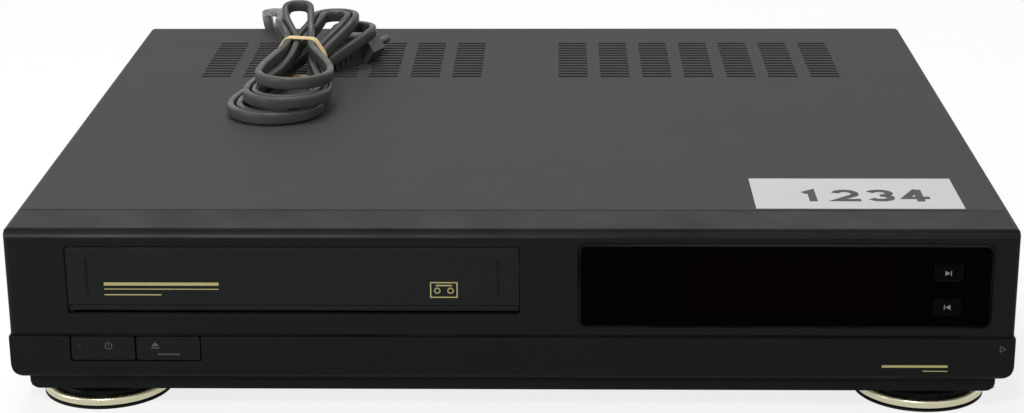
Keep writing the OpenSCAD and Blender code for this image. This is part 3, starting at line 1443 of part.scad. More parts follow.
// Flat two-pin plug: relief, tapered ribbed grip, broad rear end and round pins
module mains_plug() color(col_cord) at_face() {
    tip = hank_end();
    base_z = body_h + slide_gap;
    relief_l = 9;
    grip_l = 20;
    body_l = 33;
    face_h = 13.7;
    translate([tip.x, tip.y, 0]) rotate(-plug_yaw) {
        translate([0, 0, tip.z]) rotate([-90, 0, 0]) cylinder(r1 = 3.1, r2 = 3.6, h = relief_l + 1, $fn = 32);
        translate([0, relief_l, base_z]) {
            linear_extrude(8) polygon([
                [-5.5, 0], [5.5, 0], [8, 10], [10.5, grip_l], [10.5, body_l], [-10.5, body_l],
                [-10.5, grip_l], [-8, 10]
            ]);
            for (i = [0:3]) translate([-7.4 - i * 0.7, 3 + i * 4, 1]) cube([14.8 + i * 1.4, 2, 7.8]);
        }
        translate([0, relief_l + body_l, base_z]) rotate([90, 0, 0]) {
            linear_extrude(body_l - grip_l) polygon([
                [-13, 0], [13, 0], [17.6, face_h / 2], [13, face_h], [-13, face_h], [-17.6, face_h / 2]
            ]);
        }
        for (s = [-1, 1]) translate([s * 9.3, relief_l + body_l - 0.5, base_z + face_h / 2]) {
            rotate([-90, 0, 0]) cylinder(r = 2, h = 18, $fn = 32);
            translate([0, 18, 0]) rotate([-90, 0, 0]) cylinder(r1 = 2, r2 = 1.1, h = 1.5, $fn = 32);
        }
    }
}

top_cover();
front_panel();
bottom_chassis();
rear_panel();
front_foot_left();
front_foot_right();
foot_rings();
rear_feet();
cover_screws();
stock_label();
cassette_flap();
flap_spring();
display_window();
search_forward_button();
search_back_button();
operate_button();
eject_button();
power_lamp();
control_door();
rewind_button();
play_button();
fast_forward_button();
stop_button();
pause_button();
record_button();
tracking_knob();
control_board();
display_board();
display_tube();
loader_bracket_left();
loader_bracket_right();
loader_bridge();
loader_rack_left();
loader_rack_right();
loader_shaft();
loading_motor();
cassette_carriage();
deck_plate();
drum_base();
head_drum();
tape_guide_left();
tape_guide_right();
capstan();
pinch_arm();
pinch_roller();
supply_reel();
takeup_reel();
fixed_heads();
main_board();
power_board();
power_transformer();
tuner_module();
socket_board();
av_sockets();
cord_grommet();
mains_lead();
mains_hank();
cord_band();
mains_plug();
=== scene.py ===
"""Video cassette recorder: finishes, prints, cord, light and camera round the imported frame."""

import math

import bmesh
import bpy
from mathutils import Matrix, Vector


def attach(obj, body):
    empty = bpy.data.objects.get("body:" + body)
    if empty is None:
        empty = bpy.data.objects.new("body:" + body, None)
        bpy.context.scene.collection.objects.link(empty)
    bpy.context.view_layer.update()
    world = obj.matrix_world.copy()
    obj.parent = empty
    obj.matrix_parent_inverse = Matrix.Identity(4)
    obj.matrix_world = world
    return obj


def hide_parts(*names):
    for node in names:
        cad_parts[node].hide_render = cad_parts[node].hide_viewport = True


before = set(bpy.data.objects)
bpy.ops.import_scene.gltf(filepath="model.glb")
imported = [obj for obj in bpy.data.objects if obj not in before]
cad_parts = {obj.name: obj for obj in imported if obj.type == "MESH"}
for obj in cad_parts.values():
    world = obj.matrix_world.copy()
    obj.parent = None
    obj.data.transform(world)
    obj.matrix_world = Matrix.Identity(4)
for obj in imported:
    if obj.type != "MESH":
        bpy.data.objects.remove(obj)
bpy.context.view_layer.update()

FACE = -182.9  # where the front face is along Y, in millimetres
REAR_D = 358.5  # depth of the rear panel's outer face
SEAM_D = 29.15  # depth of the seam between the front's top strip and the cover
HALF_W = 215.0  # half the width of the cover
BODY_H = 84.0  # height of the cover's top face
FOOT_X, FOOT_D = 180.0, 34.5  # axis of each front foot
MM = 0.001

PHOTO_W = 1024  # width of the photograph in pixels
FOCAL_PX = 2200  # focal length in the same pixels
SENSOR_MM = 36
CAMERA_PLACE = (0.0215, -1.0548, 0.3832)


def at(x, d, z):
    """Point from its width, its depth behind the front face and its height, in millimetres."""
    return Vector((x, FACE + d, z)) * MM


def feed(tree, socket, value):
    """Links another node's output to a socket, or sets its value. None changes nothing."""
    if isinstance(value, bpy.types.NodeSocket):
        tree.links.new(value, socket)
    elif value is not None:
        socket.default_value = value


def placed(name, data):
    """New object in the scene, from a mesh, a lamp or a camera."""
    holder = bpy.data.objects.new(name, data)
    bpy.context.collection.objects.link(holder)
    return holder


# Camera, floor and light

def set_camera():
    """Long lens a little above the recorder, looking down at its front."""
    down, turn, roll = math.radians(18.27), math.radians(-1.33), math.radians(-0.34)
    look = Vector(
        (math.sin(turn) * math.cos(down), math.cos(turn) * math.cos(down), -math.sin(down))
    )
    side = Vector((math.cos(turn), -math.sin(turn), 0))
    top = side.cross(look)
    right = side * math.cos(roll) + top * math.sin(roll)
    up = top * math.cos(roll) - side * math.sin(roll)
    camera = bpy.data.cameras.new("front_camera")
    camera.lens = FOCAL_PX / PHOTO_W * SENSOR_MM
    camera.clip_end = 50
    holder = placed("front_camera", camera)
    turned = Matrix((right, up, -look)).transposed().to_4x4()
    holder.matrix_world = Matrix.Translation(CAMERA_PLACE) @ turned
    bpy.context.scene.camera = holder


def add_lamp(name, place, target, size, power):
    """Rectangular soft lamp that faces a point. Sizes in metres, power in watts."""
    lamp = bpy.data.lights.new(name, "AREA")
    lamp.shape = "RECTANGLE"
    lamp.size, lamp.size_y = size
    lamp.energy = power
    holder = placed(name, lamp)
    place, target = Vector(place), Vector(target)
    holder.matrix_world = Matrix.Translation(place) @ (
        (target - place).to_track_quat("-Z", "Y").to_matrix().to_4x4()
    )


def seen_directly(tree):
    """1 for rays that show a background: straight, mirrored or through glass."""
    rays = tree.nodes.new("ShaderNodeLightPath")
    total = rays.outputs["Is Camera Ray"]
    for kind in ("Is Glossy Ray", "Is Transmission Ray"):
        add = tree.nodes.new("ShaderNodeMath")
        add.operation = "MAXIMUM"
        tree.links.new(total, add.inputs[0])
        tree.links.new(rays.outputs[kind], add.inputs[1])
        total = add.outputs[0]
    return total


def blend(tree, share, unseen, seen, target):
    """Feeds a mix of two shader nodes, by a share, to an output node."""
    mix = tree.nodes.new("ShaderNodeMixShader")
    for socket, source in zip(mix.inputs, (share, unseen.outputs[0], seen.outputs[0])):
        tree.links.new(source, socket)
    tree.links.new(mix.outputs[0], tree.nodes[target].inputs[0])


def white_light(node, strength):
    """Makes a background or emission node white, with a strength."""
    node.inputs["Color"].default_value = (1, 1, 1, 1)
    node.inputs["Strength"].default_value = strength
    return node


def light_the_studio():
    """Even white surround, a lamp above, one in front and a low one at the left."""
    bpy.context.scene.view_settings.view_transform = "Standard"
    world = bpy.data.worlds.new("studio")
    bpy.context.scene.world = world
    world.use_nodes = True
    tree = world.node_tree
    fill = white_light(tree.nodes["Background"], 0.4)
    white = white_light(tree.nodes.new("ShaderNodeBackground"), 1)
    blend(tree, seen_directly(tree), fill, white, "World Output")
    add_lamp("lamp_above", (-0.15, 0.2, 1.45), (0, 0, 0.05), (0.7, 0.6), 12.5)
    add_lamp("lamp_in_front", (-0.3, -1.5, 1.3), (-0.05, -0.18, 0.05), (0.32, 0.28), 14)
    add_lamp("lamp_left", (-0.75, -0.45, 0.22), (-0.2, -0.18, 0.05), (0.3, 0.3), 1.6)


def lay_floor():
    """White paper floor that glows a little where a ray shows it directly."""
    reach, glow_share = 4, 0.78
    corners = [(x, y, 0) for x, y in bar(-reach, -reach, reach, reach)]
    mesh = bpy.data.meshes.new("floor")
    mesh.from_pydata(corners, [], [(0, 1, 2, 3)])
    floor = placed("floor", mesh)
    paper = bpy.data.materials.new("white_paper")
    paper.use_nodes = True
    tree = paper.node_tree
    matt = tree.nodes["Principled BSDF"]
    matt.inputs["Base Color"].default_value = (0.92, 0.92, 0.92, 1)
    matt.inputs["Roughness"].default_value = 0.9
    matt.inputs["Specular IOR Level"].default_value = 0.1
    glow = white_light(tree.nodes.new("ShaderNodeEmission"), 1)
    share = tree.nodes.new("ShaderNodeMath")
    share.operation = "MULTIPLY"
    share.inputs[1].default_value = glow_share
    tree.links.new(seen_directly(tree), share.inputs[0])
    blend(tree, share.outputs[0], matt, glow, "Material Output")
    mesh.materials.append(paper)


# Finishes

class Finish:
    """One surface finish: fixed shader values, and chains of nodes that vary them."""

    def __init__(self, name, colour, roughness, metallic=0.0, specular=0.5, **fixed):
        self.material = bpy.data.materials.new(name)
        self.material.use_nodes = True
        self.tree = self.material.node_tree
        self.shader = self.tree.nodes["Principled BSDF"]
        self.set("Metallic", metallic)
        self.set("Specular IOR Level", specular)
        for key, value in fixed.items():
            self.set(key.replace("_", " "), value)
        self.material.diffuse_color = (*colour, 1)
        self.material.roughness = roughness
        self.normal = None
        self.colour = colour
        self.paint = (*colour, 1)
        self.sheen = roughness

    def set(self, name, value):
        """Fixes a value of the shader."""
        self.shader.inputs[name].default_value = value

    def put(self, kind, out=0, settings=(), inputs=()):
        """New node with its settings and inputs, given as pairs. Returns one output."""
        node = self.tree.nodes.new(kind)
        for key, value in settings:
            setattr(node, key, value)
        for key, value in inputs:
            feed(self.tree, node.inputs[key], value)
        return node.outputs[out]

    def calc(self, operation, a, b=None):
        """Result of a maths node."""
        given = [(i, v) for i, v in enumerate((a, b)) if v is not None]
        return self.put("ShaderNodeMath", 0, [("operation", operation)], given)

    def times(self, a, b):
        """Product of two values."""
        return self.calc("MULTIPLY", a, b)

    def vector(self, operation, a, b, out=0):
        """Result of a vector maths node."""
        return self.put("ShaderNodeVectorMath", out, [("operation", operation)], [(0, a), (1, b)])

    def spread(self, value, low, high, to_low=0.0, to_high=1.0):
        """Stretches the part of a value between low and high, and cuts off the rest."""
        return self.put(
            "ShaderNodeMapRange", 0, [("clamp", True)],
            [(0, value), (1, low), (2, high), (3, to_low), (4, to_high)],
        )

    def spot(self, centre=(0, 0, 0), scale=(1, 1, 1)):
        """Place on the piece in millimetres, measured from a centre."""
        where = self.put("ShaderNodeTexCoord", "Object")
        moved = self.vector("SUBTRACT", where, tuple(c * MM for c in centre))
        return self.vector("MULTIPLY", moved, tuple(s / MM for s in scale))

    def axes(self, centre=(0, 0, 0)):
        """The three coordinates in millimetres from a centre, as separate values."""
        split = self.tree.nodes.new("ShaderNodeSeparateXYZ")
        feed(self.tree, split.inputs[0], self.spot(centre))
        return split.outputs[0], split.outputs[1], split.outputs[2]

    def line(self, level, half, fade=0.2):
        """1 where a level in millimetres is near zero, 0 elsewhere."""
        return self.spread(self.calc("ABSOLUTE", level), half + fade, half)

    def noise(self, where, detail=2.0, rough=0.5, warp=0.0):
        """Noise at a place, with features about 1 wide in its units."""
        return self.put(
            "ShaderNodeTexNoise", 0, (),
            [("Vector", where), ("Scale", 1.0), ("Detail", detail), ("Roughness", rough),
             ("Distortion", warp)],
        )

    def grain(self, size, detail=2.0, rough=0.5, stretch=(1, 1, 1), warp=0.0):
        """Noise with features of a size in millimetres, longer along a stretched axis."""
        return self.noise(self.spot(scale=[1 / (size * s) for s in stretch]), detail, rough, warp)

    def patches(self, size, detail, low, high, most=1, rough=0.5, stretch=(1, 1, 1)):
        """Share that rises from 0 to the most where the grain goes from low to high."""
        return self.spread(self.grain(size, detail, rough, stretch), low, high, 0, most)

    def cells(self, size, out="Distance"):
        """Cell pattern of a size in millimetres: distance to the cell's middle, or its colour."""
        return self.put(
            "ShaderNodeTexVoronoi", out, (),
            [("Vector", self.spot(scale=[1 / size] * 3)), ("Scale", 1.0)],
        )

    def mixed(self, share, a, b):
        """Colour between a and b."""
        return self.put(
            "ShaderNodeMix", 2, [("data_type", "RGBA")],
            [(0, share), (6, a), (7, b if not isinstance(b, tuple) else (*b, 1))],
        )

    def toward(self, share, colour):
        """Moves the colour towards another one, or towards the first one times a number."""
        if isinstance(colour, (int, float)):
            colour = tuple(min(1, c * colour) for c in self.colour)
        self.paint = self.mixed(share, self.paint, colour)

    def duller(self, share, roughness):
        """Moves the roughness towards another value."""
        self.sheen = self.put(
            "ShaderNodeMix", 0, [("data_type", "FLOAT")],
            [(0, share), (2, self.sheen), (3, roughness)],
        )

    def raised(self, height, depth, strength=1.0):
        """Relief of a depth in millimetres."""
        self.normal = self.put(
            "ShaderNodeBump", 0, (),
            [("Height", height), ("Distance", depth * MM), ("Strength", strength),
             ("Normal", self.normal)],
        )

    def soft_edges(self, radius):
        """Rounds the edges to a small radius in millimetres. Returns 1 on them, 0 elsewhere."""
        round_normal = self.put(
            "ShaderNodeBevel", 0, [("samples", 6)], [("Radius", radius * MM)]
        )
        flat = self.put("ShaderNodeNewGeometry", "True Normal")
        along = self.vector("DOT_PRODUCT", round_normal, flat, 1)
        self.normal = round_normal
        return self.spread(along, 0.995, 0.75)

    def done(self):
        """Joins the chains to the shader and returns the material."""
        for name, value in (("Base Color", self.paint), ("Roughness", self.sheen),
                            ("Normal", self.normal)):
            feed(self.tree, self.shader.inputs[name], value)
        return self.material


def painted_steel(name, colour, roughness=0.6, specular=0.05):
    """Sprayed paint on sheet steel: orange peel, dust, rubs, paler edges, and painted shade along
    the seam.
    """
    f = Finish(name, colour, roughness, specular=specular)
    edge = f.soft_edges(0.5)
    # Painted shade: a dark line along the seam with the front, where the gap's shade falls.
    f.toward(f.line(f.axes((0, FACE + SEAM_D, 0))[1], 0.9, 0.3), 0.45)
    f.toward(f.patches(120, 2, 0.35, 0.7, 0.15), 1.04)
    f.toward(f.patches(0.45, 2, 0.5, 0.75, 0.3, 0.6), 1.3)
    f.toward(f.times(edge, f.spread(f.grain(6, 3), 0.4, 0.7, 0.1, 0.6)), 1.9)
    dust = f.spread(f.cells(11), 0.03, 0.015, 0, 0.3)
    f.toward(dust, 2.2)
    rub = f.spread(f.grain(5, 1, 0.4, (14, 0.5, 1), 0.4), 0.79, 0.84, 0, 0.4)
    f.toward(rub, 1.5)
    f.duller(f.patches(24, 4, 0.3, 0.7), roughness + 0.03)
    f.duller(f.times(rub, 0.6), roughness - 0.05)
    f.raised(f.grain(0.9, 3, 0.55), 0.05, 0.55)
    f.raised(f.grain(0.28, 1, 0.5), 0.012, 0.5)
    return f.done()


def paint_light_on_front(f):
    """Painted light and shade on the front: the top strip lighter as lit from above, painted shade
    in the seam, on the upper roll of the top edge and over the door, and a painted highlight on the
    lower roll.
    """
    highlight_z, edge_shade_z, door_top_z = 81.95, 83.3, 37.25
    x, y, z = f.axes((0, FACE, 0))
    on_top = f.spread(z, 80, 81)
    # Painted light: the top strip is painted lighter than the front face, as the light from above
    # falls on it.
    f.toward(f.times(on_top, f.spread(y, 2.5, 3.1)), (0.0305, 0.031, 0.031))
    # Painted shade in the seam between the top strip and the cover.
    f.toward(f.line(f.calc("SUBTRACT", y, SEAM_D), 0.9, 0.3), (0.008, 0.008, 0.008))
    # Painted highlight along the lower roll of the top edge, strongest at the left and fading to
    # the right.
    painted_highlight = f.times(f.line(f.calc("SUBTRACT", z, highlight_z), 0.5, 0.4), f.spread(y, 1.6, 1.2))
    fading = f.spread(x, 60, -110, 0.15, 1)
    f.toward(f.times(painted_highlight, fading), (0.05, 0.0525, 0.0525))
    # Painted shade: a dark band on the upper roll of the top edge.
    edge_shade = f.line(f.calc("SUBTRACT", z, edge_shade_z), 0.6, 0.35)
    f.toward(f.times(edge_shade, f.spread(y, 3.0, 2.6)), 0.12)
    # Painted shade in the gap between the front and the top of the door.
    gap_shade = f.line(f.calc("SUBTRACT", z, door_top_z), 0.55, 0.2)
    f.toward(f.times(gap_shade, f.spread(y, 1.5, 1.2)), 0.1)


def moulded(name, colour, roughness=0.4, specular=0.035, edge_mm=0.4, texture=0.35, wear_and_sheen=0.35,
            edge_wear_and_sheen_tone=3, lit_and_shaded_front=False):
    """Injection-moulded plastic: fine spark texture, a little dust, and paler edges that are partly
    worn by hands and partly a painted highlight.
    """
    f = Finish(name, colour, roughness, specular=specular)
    edge = f.soft_edges(edge_mm)
    # Painted light and shade on the front panel's top strip, top edge and door gap.
    if lit_and_shaded_front:
        paint_light_on_front(f)
    f.toward(f.patches(45, 2, 0.4, 0.7, 0.5), 1.12)
    f.toward(f.patches(texture, 2, 0.52, 0.8, 0.35, 0.6), 1.5)
    # Paler edges: partly hand wear, partly a painted highlight on the bevels.
    f.toward(f.times(edge, f.spread(f.grain(4, 3), 0.42, 0.7, 0.05, wear_and_sheen)), edge_wear_and_sheen_tone)
    f.toward(f.spread(f.cells(11), 0.035, 0.015, 0, 0.4), 4)
    f.duller(f.patches(17, 3, 0.35, 0.7, 0.8), roughness + 0.12)
    f.duller(f.times(edge, 0.5), roughness - 0.14)
    f.raised(f.grain(texture, 2, 0.6), 0.02, 0.5)
    return f.done()


def zinc_steel(name, colour, roughness=0.38):
    """Zinc-plated sheet: faint rolling lines, soft spangle and dull finger marks."""
    f = Finish(name, colour, roughness, metallic=0.85)
    edge = f.soft_edges(0.25)
    f.toward(f.spread(f.cells(7, "Color"), 0.2, 0.9, 0, 0.35), 1.3)
    f.toward(f.patches(0.5, 2, 0.45, 0.75, 0.35, 0.5, (40, 1, 1)), 0.7)
    f.toward(f.patches(22, 4, 0.55, 0.8, 0.5), 0.72)
    f.toward(f.times(edge, 0.4), 1.5)
    f.duller(f.patches(14, 4, 0.4, 0.75), roughness + 0.2)
    f.raised(f.grain(0.4, 2, 0.5, (40, 1, 1)), 0.01, 0.4)
    return f.done()


def bright_metal(name, colour, roughness=0.22, grain_mm=0.2, stretch=(1, 1, 30)):
    """Ground or turned metal with fine tool lines."""
    f = Finish(name, colour, roughness, metallic=1.0)
    edge = f.soft_edges(0.15)
    f.toward(f.patches(grain_mm, 2, 0.4, 0.7, 0.4, 0.6, stretch), 0.78)
    f.toward(f.times(edge, 0.5), 1.25)
    f.duller(f.patches(9, 3, 0.4, 0.75), roughness + 0.15)
    f.raised(f.grain(grain_mm, 1, 0.5, stretch), 0.006, 0.5)
    return f.done()


def cast_metal(name, colour):
    """Matt die casting with a sandy skin."""
    f = Finish(name, colour, 0.5, metallic=0.9)
    edge = f.soft_edges(0.4)
    f.toward(f.patches(1.4, 4, 0.4, 0.75, 0.5, 0.7), 0.7)
    f.toward(f.times(edge, 0.5), 1.4)
    f.duller(f.patches(5, 3, 0.35, 0.7), 0.66)
    f.raised(f.grain(0.7, 3, 0.6), 0.05, 0.6)
    return f.done()


def turned_ring():
    """Champagne-gold anodised ring with lines left by the lathe."""
    gold = (0.60, 0.57, 0.40)
    f = Finish("champagne_ring", gold, 0.24, metallic=1.0)
    f.soft_edges(0.3)
    x, y, z = f.axes((0, FACE + FOOT_D, 0))
    across = f.calc("SUBTRACT", f.calc("ABSOLUTE", x), FOOT_X)
    radius = f.calc("SQRT", f.calc("ADD", f.times(across, across), f.times(y, y)))
    lathe = f.calc("SINE", f.times(f.calc("ADD", radius, z), 9.0))
    f.toward(f.spread(lathe, -1, 1, 0, 0.1), 0.8)
    f.toward(f.patches(8, 3, 0.5, 0.8, 0.3), 0.85)
    f.duller(f.patches(2.5, 3, 0.4, 0.8, 0.7), 0.38)
    f.raised(lathe, 0.0015, 0.4)
    return f.done()


def foot_gloss():
    """Glossy black top with faint dust, and a matt rubber pad under it."""
    f = Finish("foot_black", (0.004, 0.004, 0.0045), 0.16, specular=0.05)
    f.soft_edges(0.3)
    pad = f.spread(f.axes()[2], 0.9, 0.7)
    f.toward(pad, (0.016, 0.016, 0.016))
    f.duller(f.patches(3, 4, 0.45, 0.8, 0.7), 0.3)
    f.duller(pad, 0.8)
    f.toward(f.spread(f.cells(6), 0.05, 0.02, 0, 0.25), (0.1, 0.1, 0.1))
    f.raised(f.grain(0.6, 2, 0.5), 0.01, 0.4)
    return f.done()


def smoked_acrylic():
    """Polished, nearly black window with a dark red filter, and a painted highlight on its upper
    rim and edges.
    """
    black = (0.0003, 0.0004, 0.0004)
    f = Finish("smoked_acrylic", black, 0.06, specular=0.008)
    edge = f.soft_edges(0.6)
    middle_x, middle_z, rim_z = 119, 60, 78.45
    x, _, z = f.axes((middle_x, 0, middle_z))
    rim_highlight = f.line(f.calc("SUBTRACT", z, rim_z - middle_z), 0.4, 0.2)
    inside = f.times(f.spread(f.calc("ABSOLUTE", x), 56, 44),
                     f.spread(f.calc("ABSOLUTE", z), 16, 11))
    f.toward(f.times(inside, 0.8), (0.0016, 0.0007, 0.0002))
    f.toward(f.spread(f.cells(13), 0.02, 0.01, 0, 0.2), (0.03, 0.03, 0.03))
    f.duller(f.patches(12, 3, 0.5, 0.75, 0.5), 0.13)
    # Painted highlight on the window's edges.
    f.toward(f.times(edge, f.spread(f.grain(30, 2), 0.35, 0.6, 0.25, 1)),
             (0.035, 0.036, 0.033))
    # Painted highlight along the upper rim, strongest in the middle.
    f.toward(f.times(rim_highlight, f.spread(f.calc("ABSOLUTE", x), 86, 20, 0.35, 1)),
             (0.024, 0.0245, 0.023))
    f.raised(f.grain(25, 1, 0.4), 0.01, 0.15)
    return f.done()


def circuit_board(name, axis, top):
    """Green laminate with tracks and solder. What lies past its top face is in part colours."""
    green = (0.045, 0.11, 0.035)
    f = Finish(name, green, 0.42, specular=0.4)
    f.soft_edges(0.15)
    level = f.axes()[axis]
    tracks = f.spread(f.calc("PINGPONG", f.cells(9, "Color"), 0.22), 0.1, 0.13)
    f.toward(f.times(tracks, 0.6), (0.075, 0.2, 0.06))
    f.toward(f.spread(f.cells(3.1), 0.2, 0.16), (0.42, 0.42, 0.4))
    above = f.spread(level, top + 0.02, top + 0.12)
    pick = f.spread(f.cells(16, "Color"), 0.25, 0.8)
    part = f.mixed(pick, (0.012, 0.012, 0.014, 1), (0.16, 0.1, 0.045))
    f.toward(above, part)
    f.raised(f.grain(0.8, 2), 0.03, 0.4)
    return f.done()


def laminated_core():
    """Transformer: varnished iron sheets on edge, and windings wrapped in amber tape."""
    f = Finish("laminated_core", (0.10, 0.085, 0.06), 0.45, metallic=0.35)
    f.soft_edges(0.2)
    sheets = f.calc("SINE", f.times(f.axes()[1], 12.5))
    f.toward(f.spread(sheets, -0.2, 0.8, 0, 0.6), (0.03, 0.026, 0.02))
    f.toward(f.patches(6, 4, 0.55, 0.8, 0.6), (0.16, 0.09, 0.04))
    f.duller(f.patches(5, 3, 0.4, 0.7), 0.62)
    f.raised(sheets, 0.04, 0.7)
    return f.done()


def rubber(name, colour, roughness=0.62, grain_mm=0.5):
    """Soft rubber with a slight bloom."""
    f = Finish(name, colour, roughness, specular=0.3)
    f.soft_edges(0.25)
    f.toward(f.patches(5, 4, 0.45, 0.8, 0.5), 1.6)
    f.duller(f.patches(3, 3, 0.4, 0.7), roughness + 0.15)
    f.raised(f.grain(grain_mm, 3, 0.6), 0.03, 0.5)
    return f.done()


def cord_vinyl(name, on_cord):
    """Soft grey vinyl. On the cord, faint lines run along it."""
    grey = (0.051, 0.0535, 0.048)
    f = Finish(name, grey, 0.3, specular=0.26)
    if on_cord:
        way = f.put("ShaderNodeUVMap", 0, [("uv_map", "along")])
        lines = f.noise(f.vector("MULTIPLY", way, (34.0, 26.0, 1.0)), 3.0, 0.6)
    else:
        f.soft_edges(0.5)
        lines = f.grain(1.2, 3, 0.6)
    f.toward(f.spread(lines, 0.4, 0.75, 0, 0.45), 0.82)
    f.toward(f.patches(26, 3, 0.4, 0.7, 0.5), 1.14)
    f.toward(f.patches(1.1, 3, 0.64, 0.78, 0.35, 0.7), (0.035, 0.035, 0.032))
    f.duller(f.patches(7, 3, 0.4, 0.7), 0.5)
    f.raised(lines, 0.05, 0.35)
    f.raised(f.grain(0.35, 2, 0.5), 0.01, 0.5)
    return f.done()


def natural_rubber():
    """Tan rubber with pale and dry patches."""
    tan = (0.64, 0.48, 0.25)
    f = Finish("band_tan", tan, 0.5, specular=0.3, Subsurface_Weight=0.12)
    f.set("Subsurface Radius", (0.002, 0.0012, 0.0006))
    f.toward(f.patches(4, 4, 0.4, 0.75, 0.6, 0.6), (0.72, 0.60, 0.38))
    f.toward(f.patches(1.3, 3, 0.58, 0.8, 0.5), (0.45, 0.27, 0.11))
    f.duller(f.patches(2.5, 3, 0.4, 0.7), 0.68)
    f.raised(f.grain(0.5, 3, 0.6), 0.06, 0.6)
    return f.done()


def label_paper():
    """Matt paper with fibres, light soiling and a darker cut edge."""
    pale = (0.5, 0.5, 0.505)
    f = Finish("label_paper", pale, 0.72, specular=0.25)
    edge = f.soft_edges(0.3)
    f.toward(f.patches(0.35, 3, 0.4, 0.75, 0.25, 0.6, (3, 1, 1)), 0.86)
    f.toward(f.patches(18, 4, 0.5, 0.8, 0.35), (0.44, 0.435, 0.42))
    f.toward(f.times(edge, 0.5), (0.33, 0.32, 0.3))
    f.raised(f.grain(0.4, 3), 0.02, 0.5)
    return f.done()


def printed_ink(name, colour, roughness=0.5):
    """Screen-printed ink, a little uneven."""
    f = Finish(name, colour, roughness, specular=0.3)
    f.toward(f.patches(0.5, 3, 0.5, 0.8, 0.5, 0.6), 0.7)
    f.duller(f.patches(2, 2, 0.4, 0.7), roughness + 0.15)
    f.raised(f.grain(0.3, 2), 0.008, 0.5)
    return f.done()


def socket_plastic():
    """Black socket body."""
    f = Finish("socket_body", (0.02, 0.02, 0.021), 0.4, specular=0.35)
    f.soft_edges(0.25)
    f.toward(f.patches(0.6, 2, 0.5, 0.8, 0.4), (0.04, 0.04, 0.04))
    f.duller(f.patches(8, 3, 0.4, 0.7), 0.55)
    f.raised(f.grain(0.5, 2), 0.02, 0.5)
    return f.done()


def display_glass():
    """Dark display tube with a faint grid of unlit segments."""
    f = Finish("display_glass", (0.02, 0.032, 0.032), 0.08, specular=0.5)
    f.soft_edges(0.2)
    x, _, z = f.axes()
    bars = f.times(f.spread(f.calc("SINE", f.times(x, 1.1)), 0.3, 0.6),
                   f.spread(f.calc("SINE", f.times(z, 1.3)), 0.2, 0.5))
    f.toward(f.times(bars, 0.5), (0.09, 0.13, 0.12))
    f.duller(f.patches(6, 3, 0.5, 0.8, 0.5), 0.2)
    return f.done()


def lamp_pipe():
    """Dark red light pipe of the unlit lamp."""
    f = Finish("lamp_pipe", (0.016, 0.003, 0.0025), 0.2, specular=0.2)
    f.soft_edges(0.15)
    f.toward(f.patches(0.8, 2, 0.4, 0.7, 0.5), (0.03, 0.004, 0.003))
    f.raised(f.grain(0.5, 2), 0.01, 0.5)
    return f.done()


def dress(material, names):
    """Gives CAD nodes a finish. Their names have a space between them."""
    for name in names.split():
        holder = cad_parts[name]
        if not holder.material_slots:
            holder.data.materials.append(material)
        for slot in holder.material_slots:
            slot.material = material


# Meshes

def new_piece(name, verts, faces, material, body="root", smooth=False):
    """Mesh piece from points in metres, riding on a body."""
    mesh = bpy.data.meshes.new(name)
    mesh.from_pydata([tuple(v) for v in verts], [], faces)
    mesh.validate()
    mesh.polygons.foreach_set("use_smooth", [smooth] * len(mesh.polygons))
    mesh.materials.append(material)
    piece = placed(name, mesh)
    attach(piece, body)
    return piece


def arc(cx, cy, r, start=0, end=360, steps=24, high=None):
    """Points along an arc, in degrees from the first axis, or along an oval with its own height."""
    count = steps if abs(end - start) >= 360 else steps + 1
    turns = [math.radians(start + (end - start) * i / steps) for i in range(count)]
    high = r if high is None else high
    return [(cx + r * math.cos(a), cy + high * math.sin(a)) for a in turns]


def pen(points, width, closed=False):
    """Four-sided pieces of a pen line of a width through points."""
    count = len(points)
    left, right = [], []
    for i, (x, y) in enumerate(points):
        before = points[i - 1] if closed or i else points[i]
        after = points[(i + 1) % count] if closed or i < count - 1 else points[i]
        a = Vector((x - before[0], y - before[1]))
        b = Vector((after[0] - x, after[1] - y))
        a = a.normalized() if a.length > 1e-9 else b.normalized()
        b = b.normalized() if b.length > 1e-9 else a
        way = (a + b).normalized()
        out = Vector((-way.y, way.x)) * (width / 2 / max(0.4, way.dot(a)))
        left.append((x + out.x, y + out.y))
        right.append((x - out.x, y - out.y))
    last = count if closed else count - 1
    return [
        [right[i], right[(i + 1) % count], left[(i + 1) % count], left[i]] for i in range(last)
    ]


def bar(x0, y0, x1, y1):
    """Corners of a rectangle."""
    return [(x0, y0), (x1, y0), (x1, y1), (x0, y1)]


def skin(rings, sides, base=0, closed=True):
    """Four-sided faces between rings of points that have the same number of sides."""
    faces = []
    for i in range(rings if closed else rings - 1):
        for j in range(sides):
            k, m = (i + 1) % rings, (j + 1) % sides
            faces.append((base + i * sides + j, base + i * sides + m,
                          base + k * sides + m, base + k * sides + j))
    return faces


FRONT = (Vector((1, 0, 0)), Vector((0, 0, 1)))
REAR = (Vector((-1, 0, 0)), Vector((0, 0, 1)))
TOP = (Vector((1, 0, 0)), Vector((0, 1, 0)))


def printed(name, shapes, origin, material, body="root", facing=FRONT):
    """Thin print: flat shapes in millimetres laid on a face from an origin."""
    across, up = facing
    verts, faces = [], []
    for shape in shapes:
        area = sum(p[0] * q[1] - q[0] * p[1] for p, q in zip(shape, shape[1:] + shape[:1]))
        ring = shape if area > 0 else shape[::-1]
        faces.append(tuple(range(len(verts), len(verts) + len(ring))))
        verts += [origin + (across * x + up * y) * MM for x, y in ring]
    return new_piece(name, verts, faces, material, body)


def triangle(x, y, size, way=1):
    """Arrow head with its base at x, pointing along an axis or against it."""
    return [(x, y - size / 2), (x + way * size * 0.9, y), (x, y + size / 2)]


# Cord, with the sizes of the part's source in millimetres

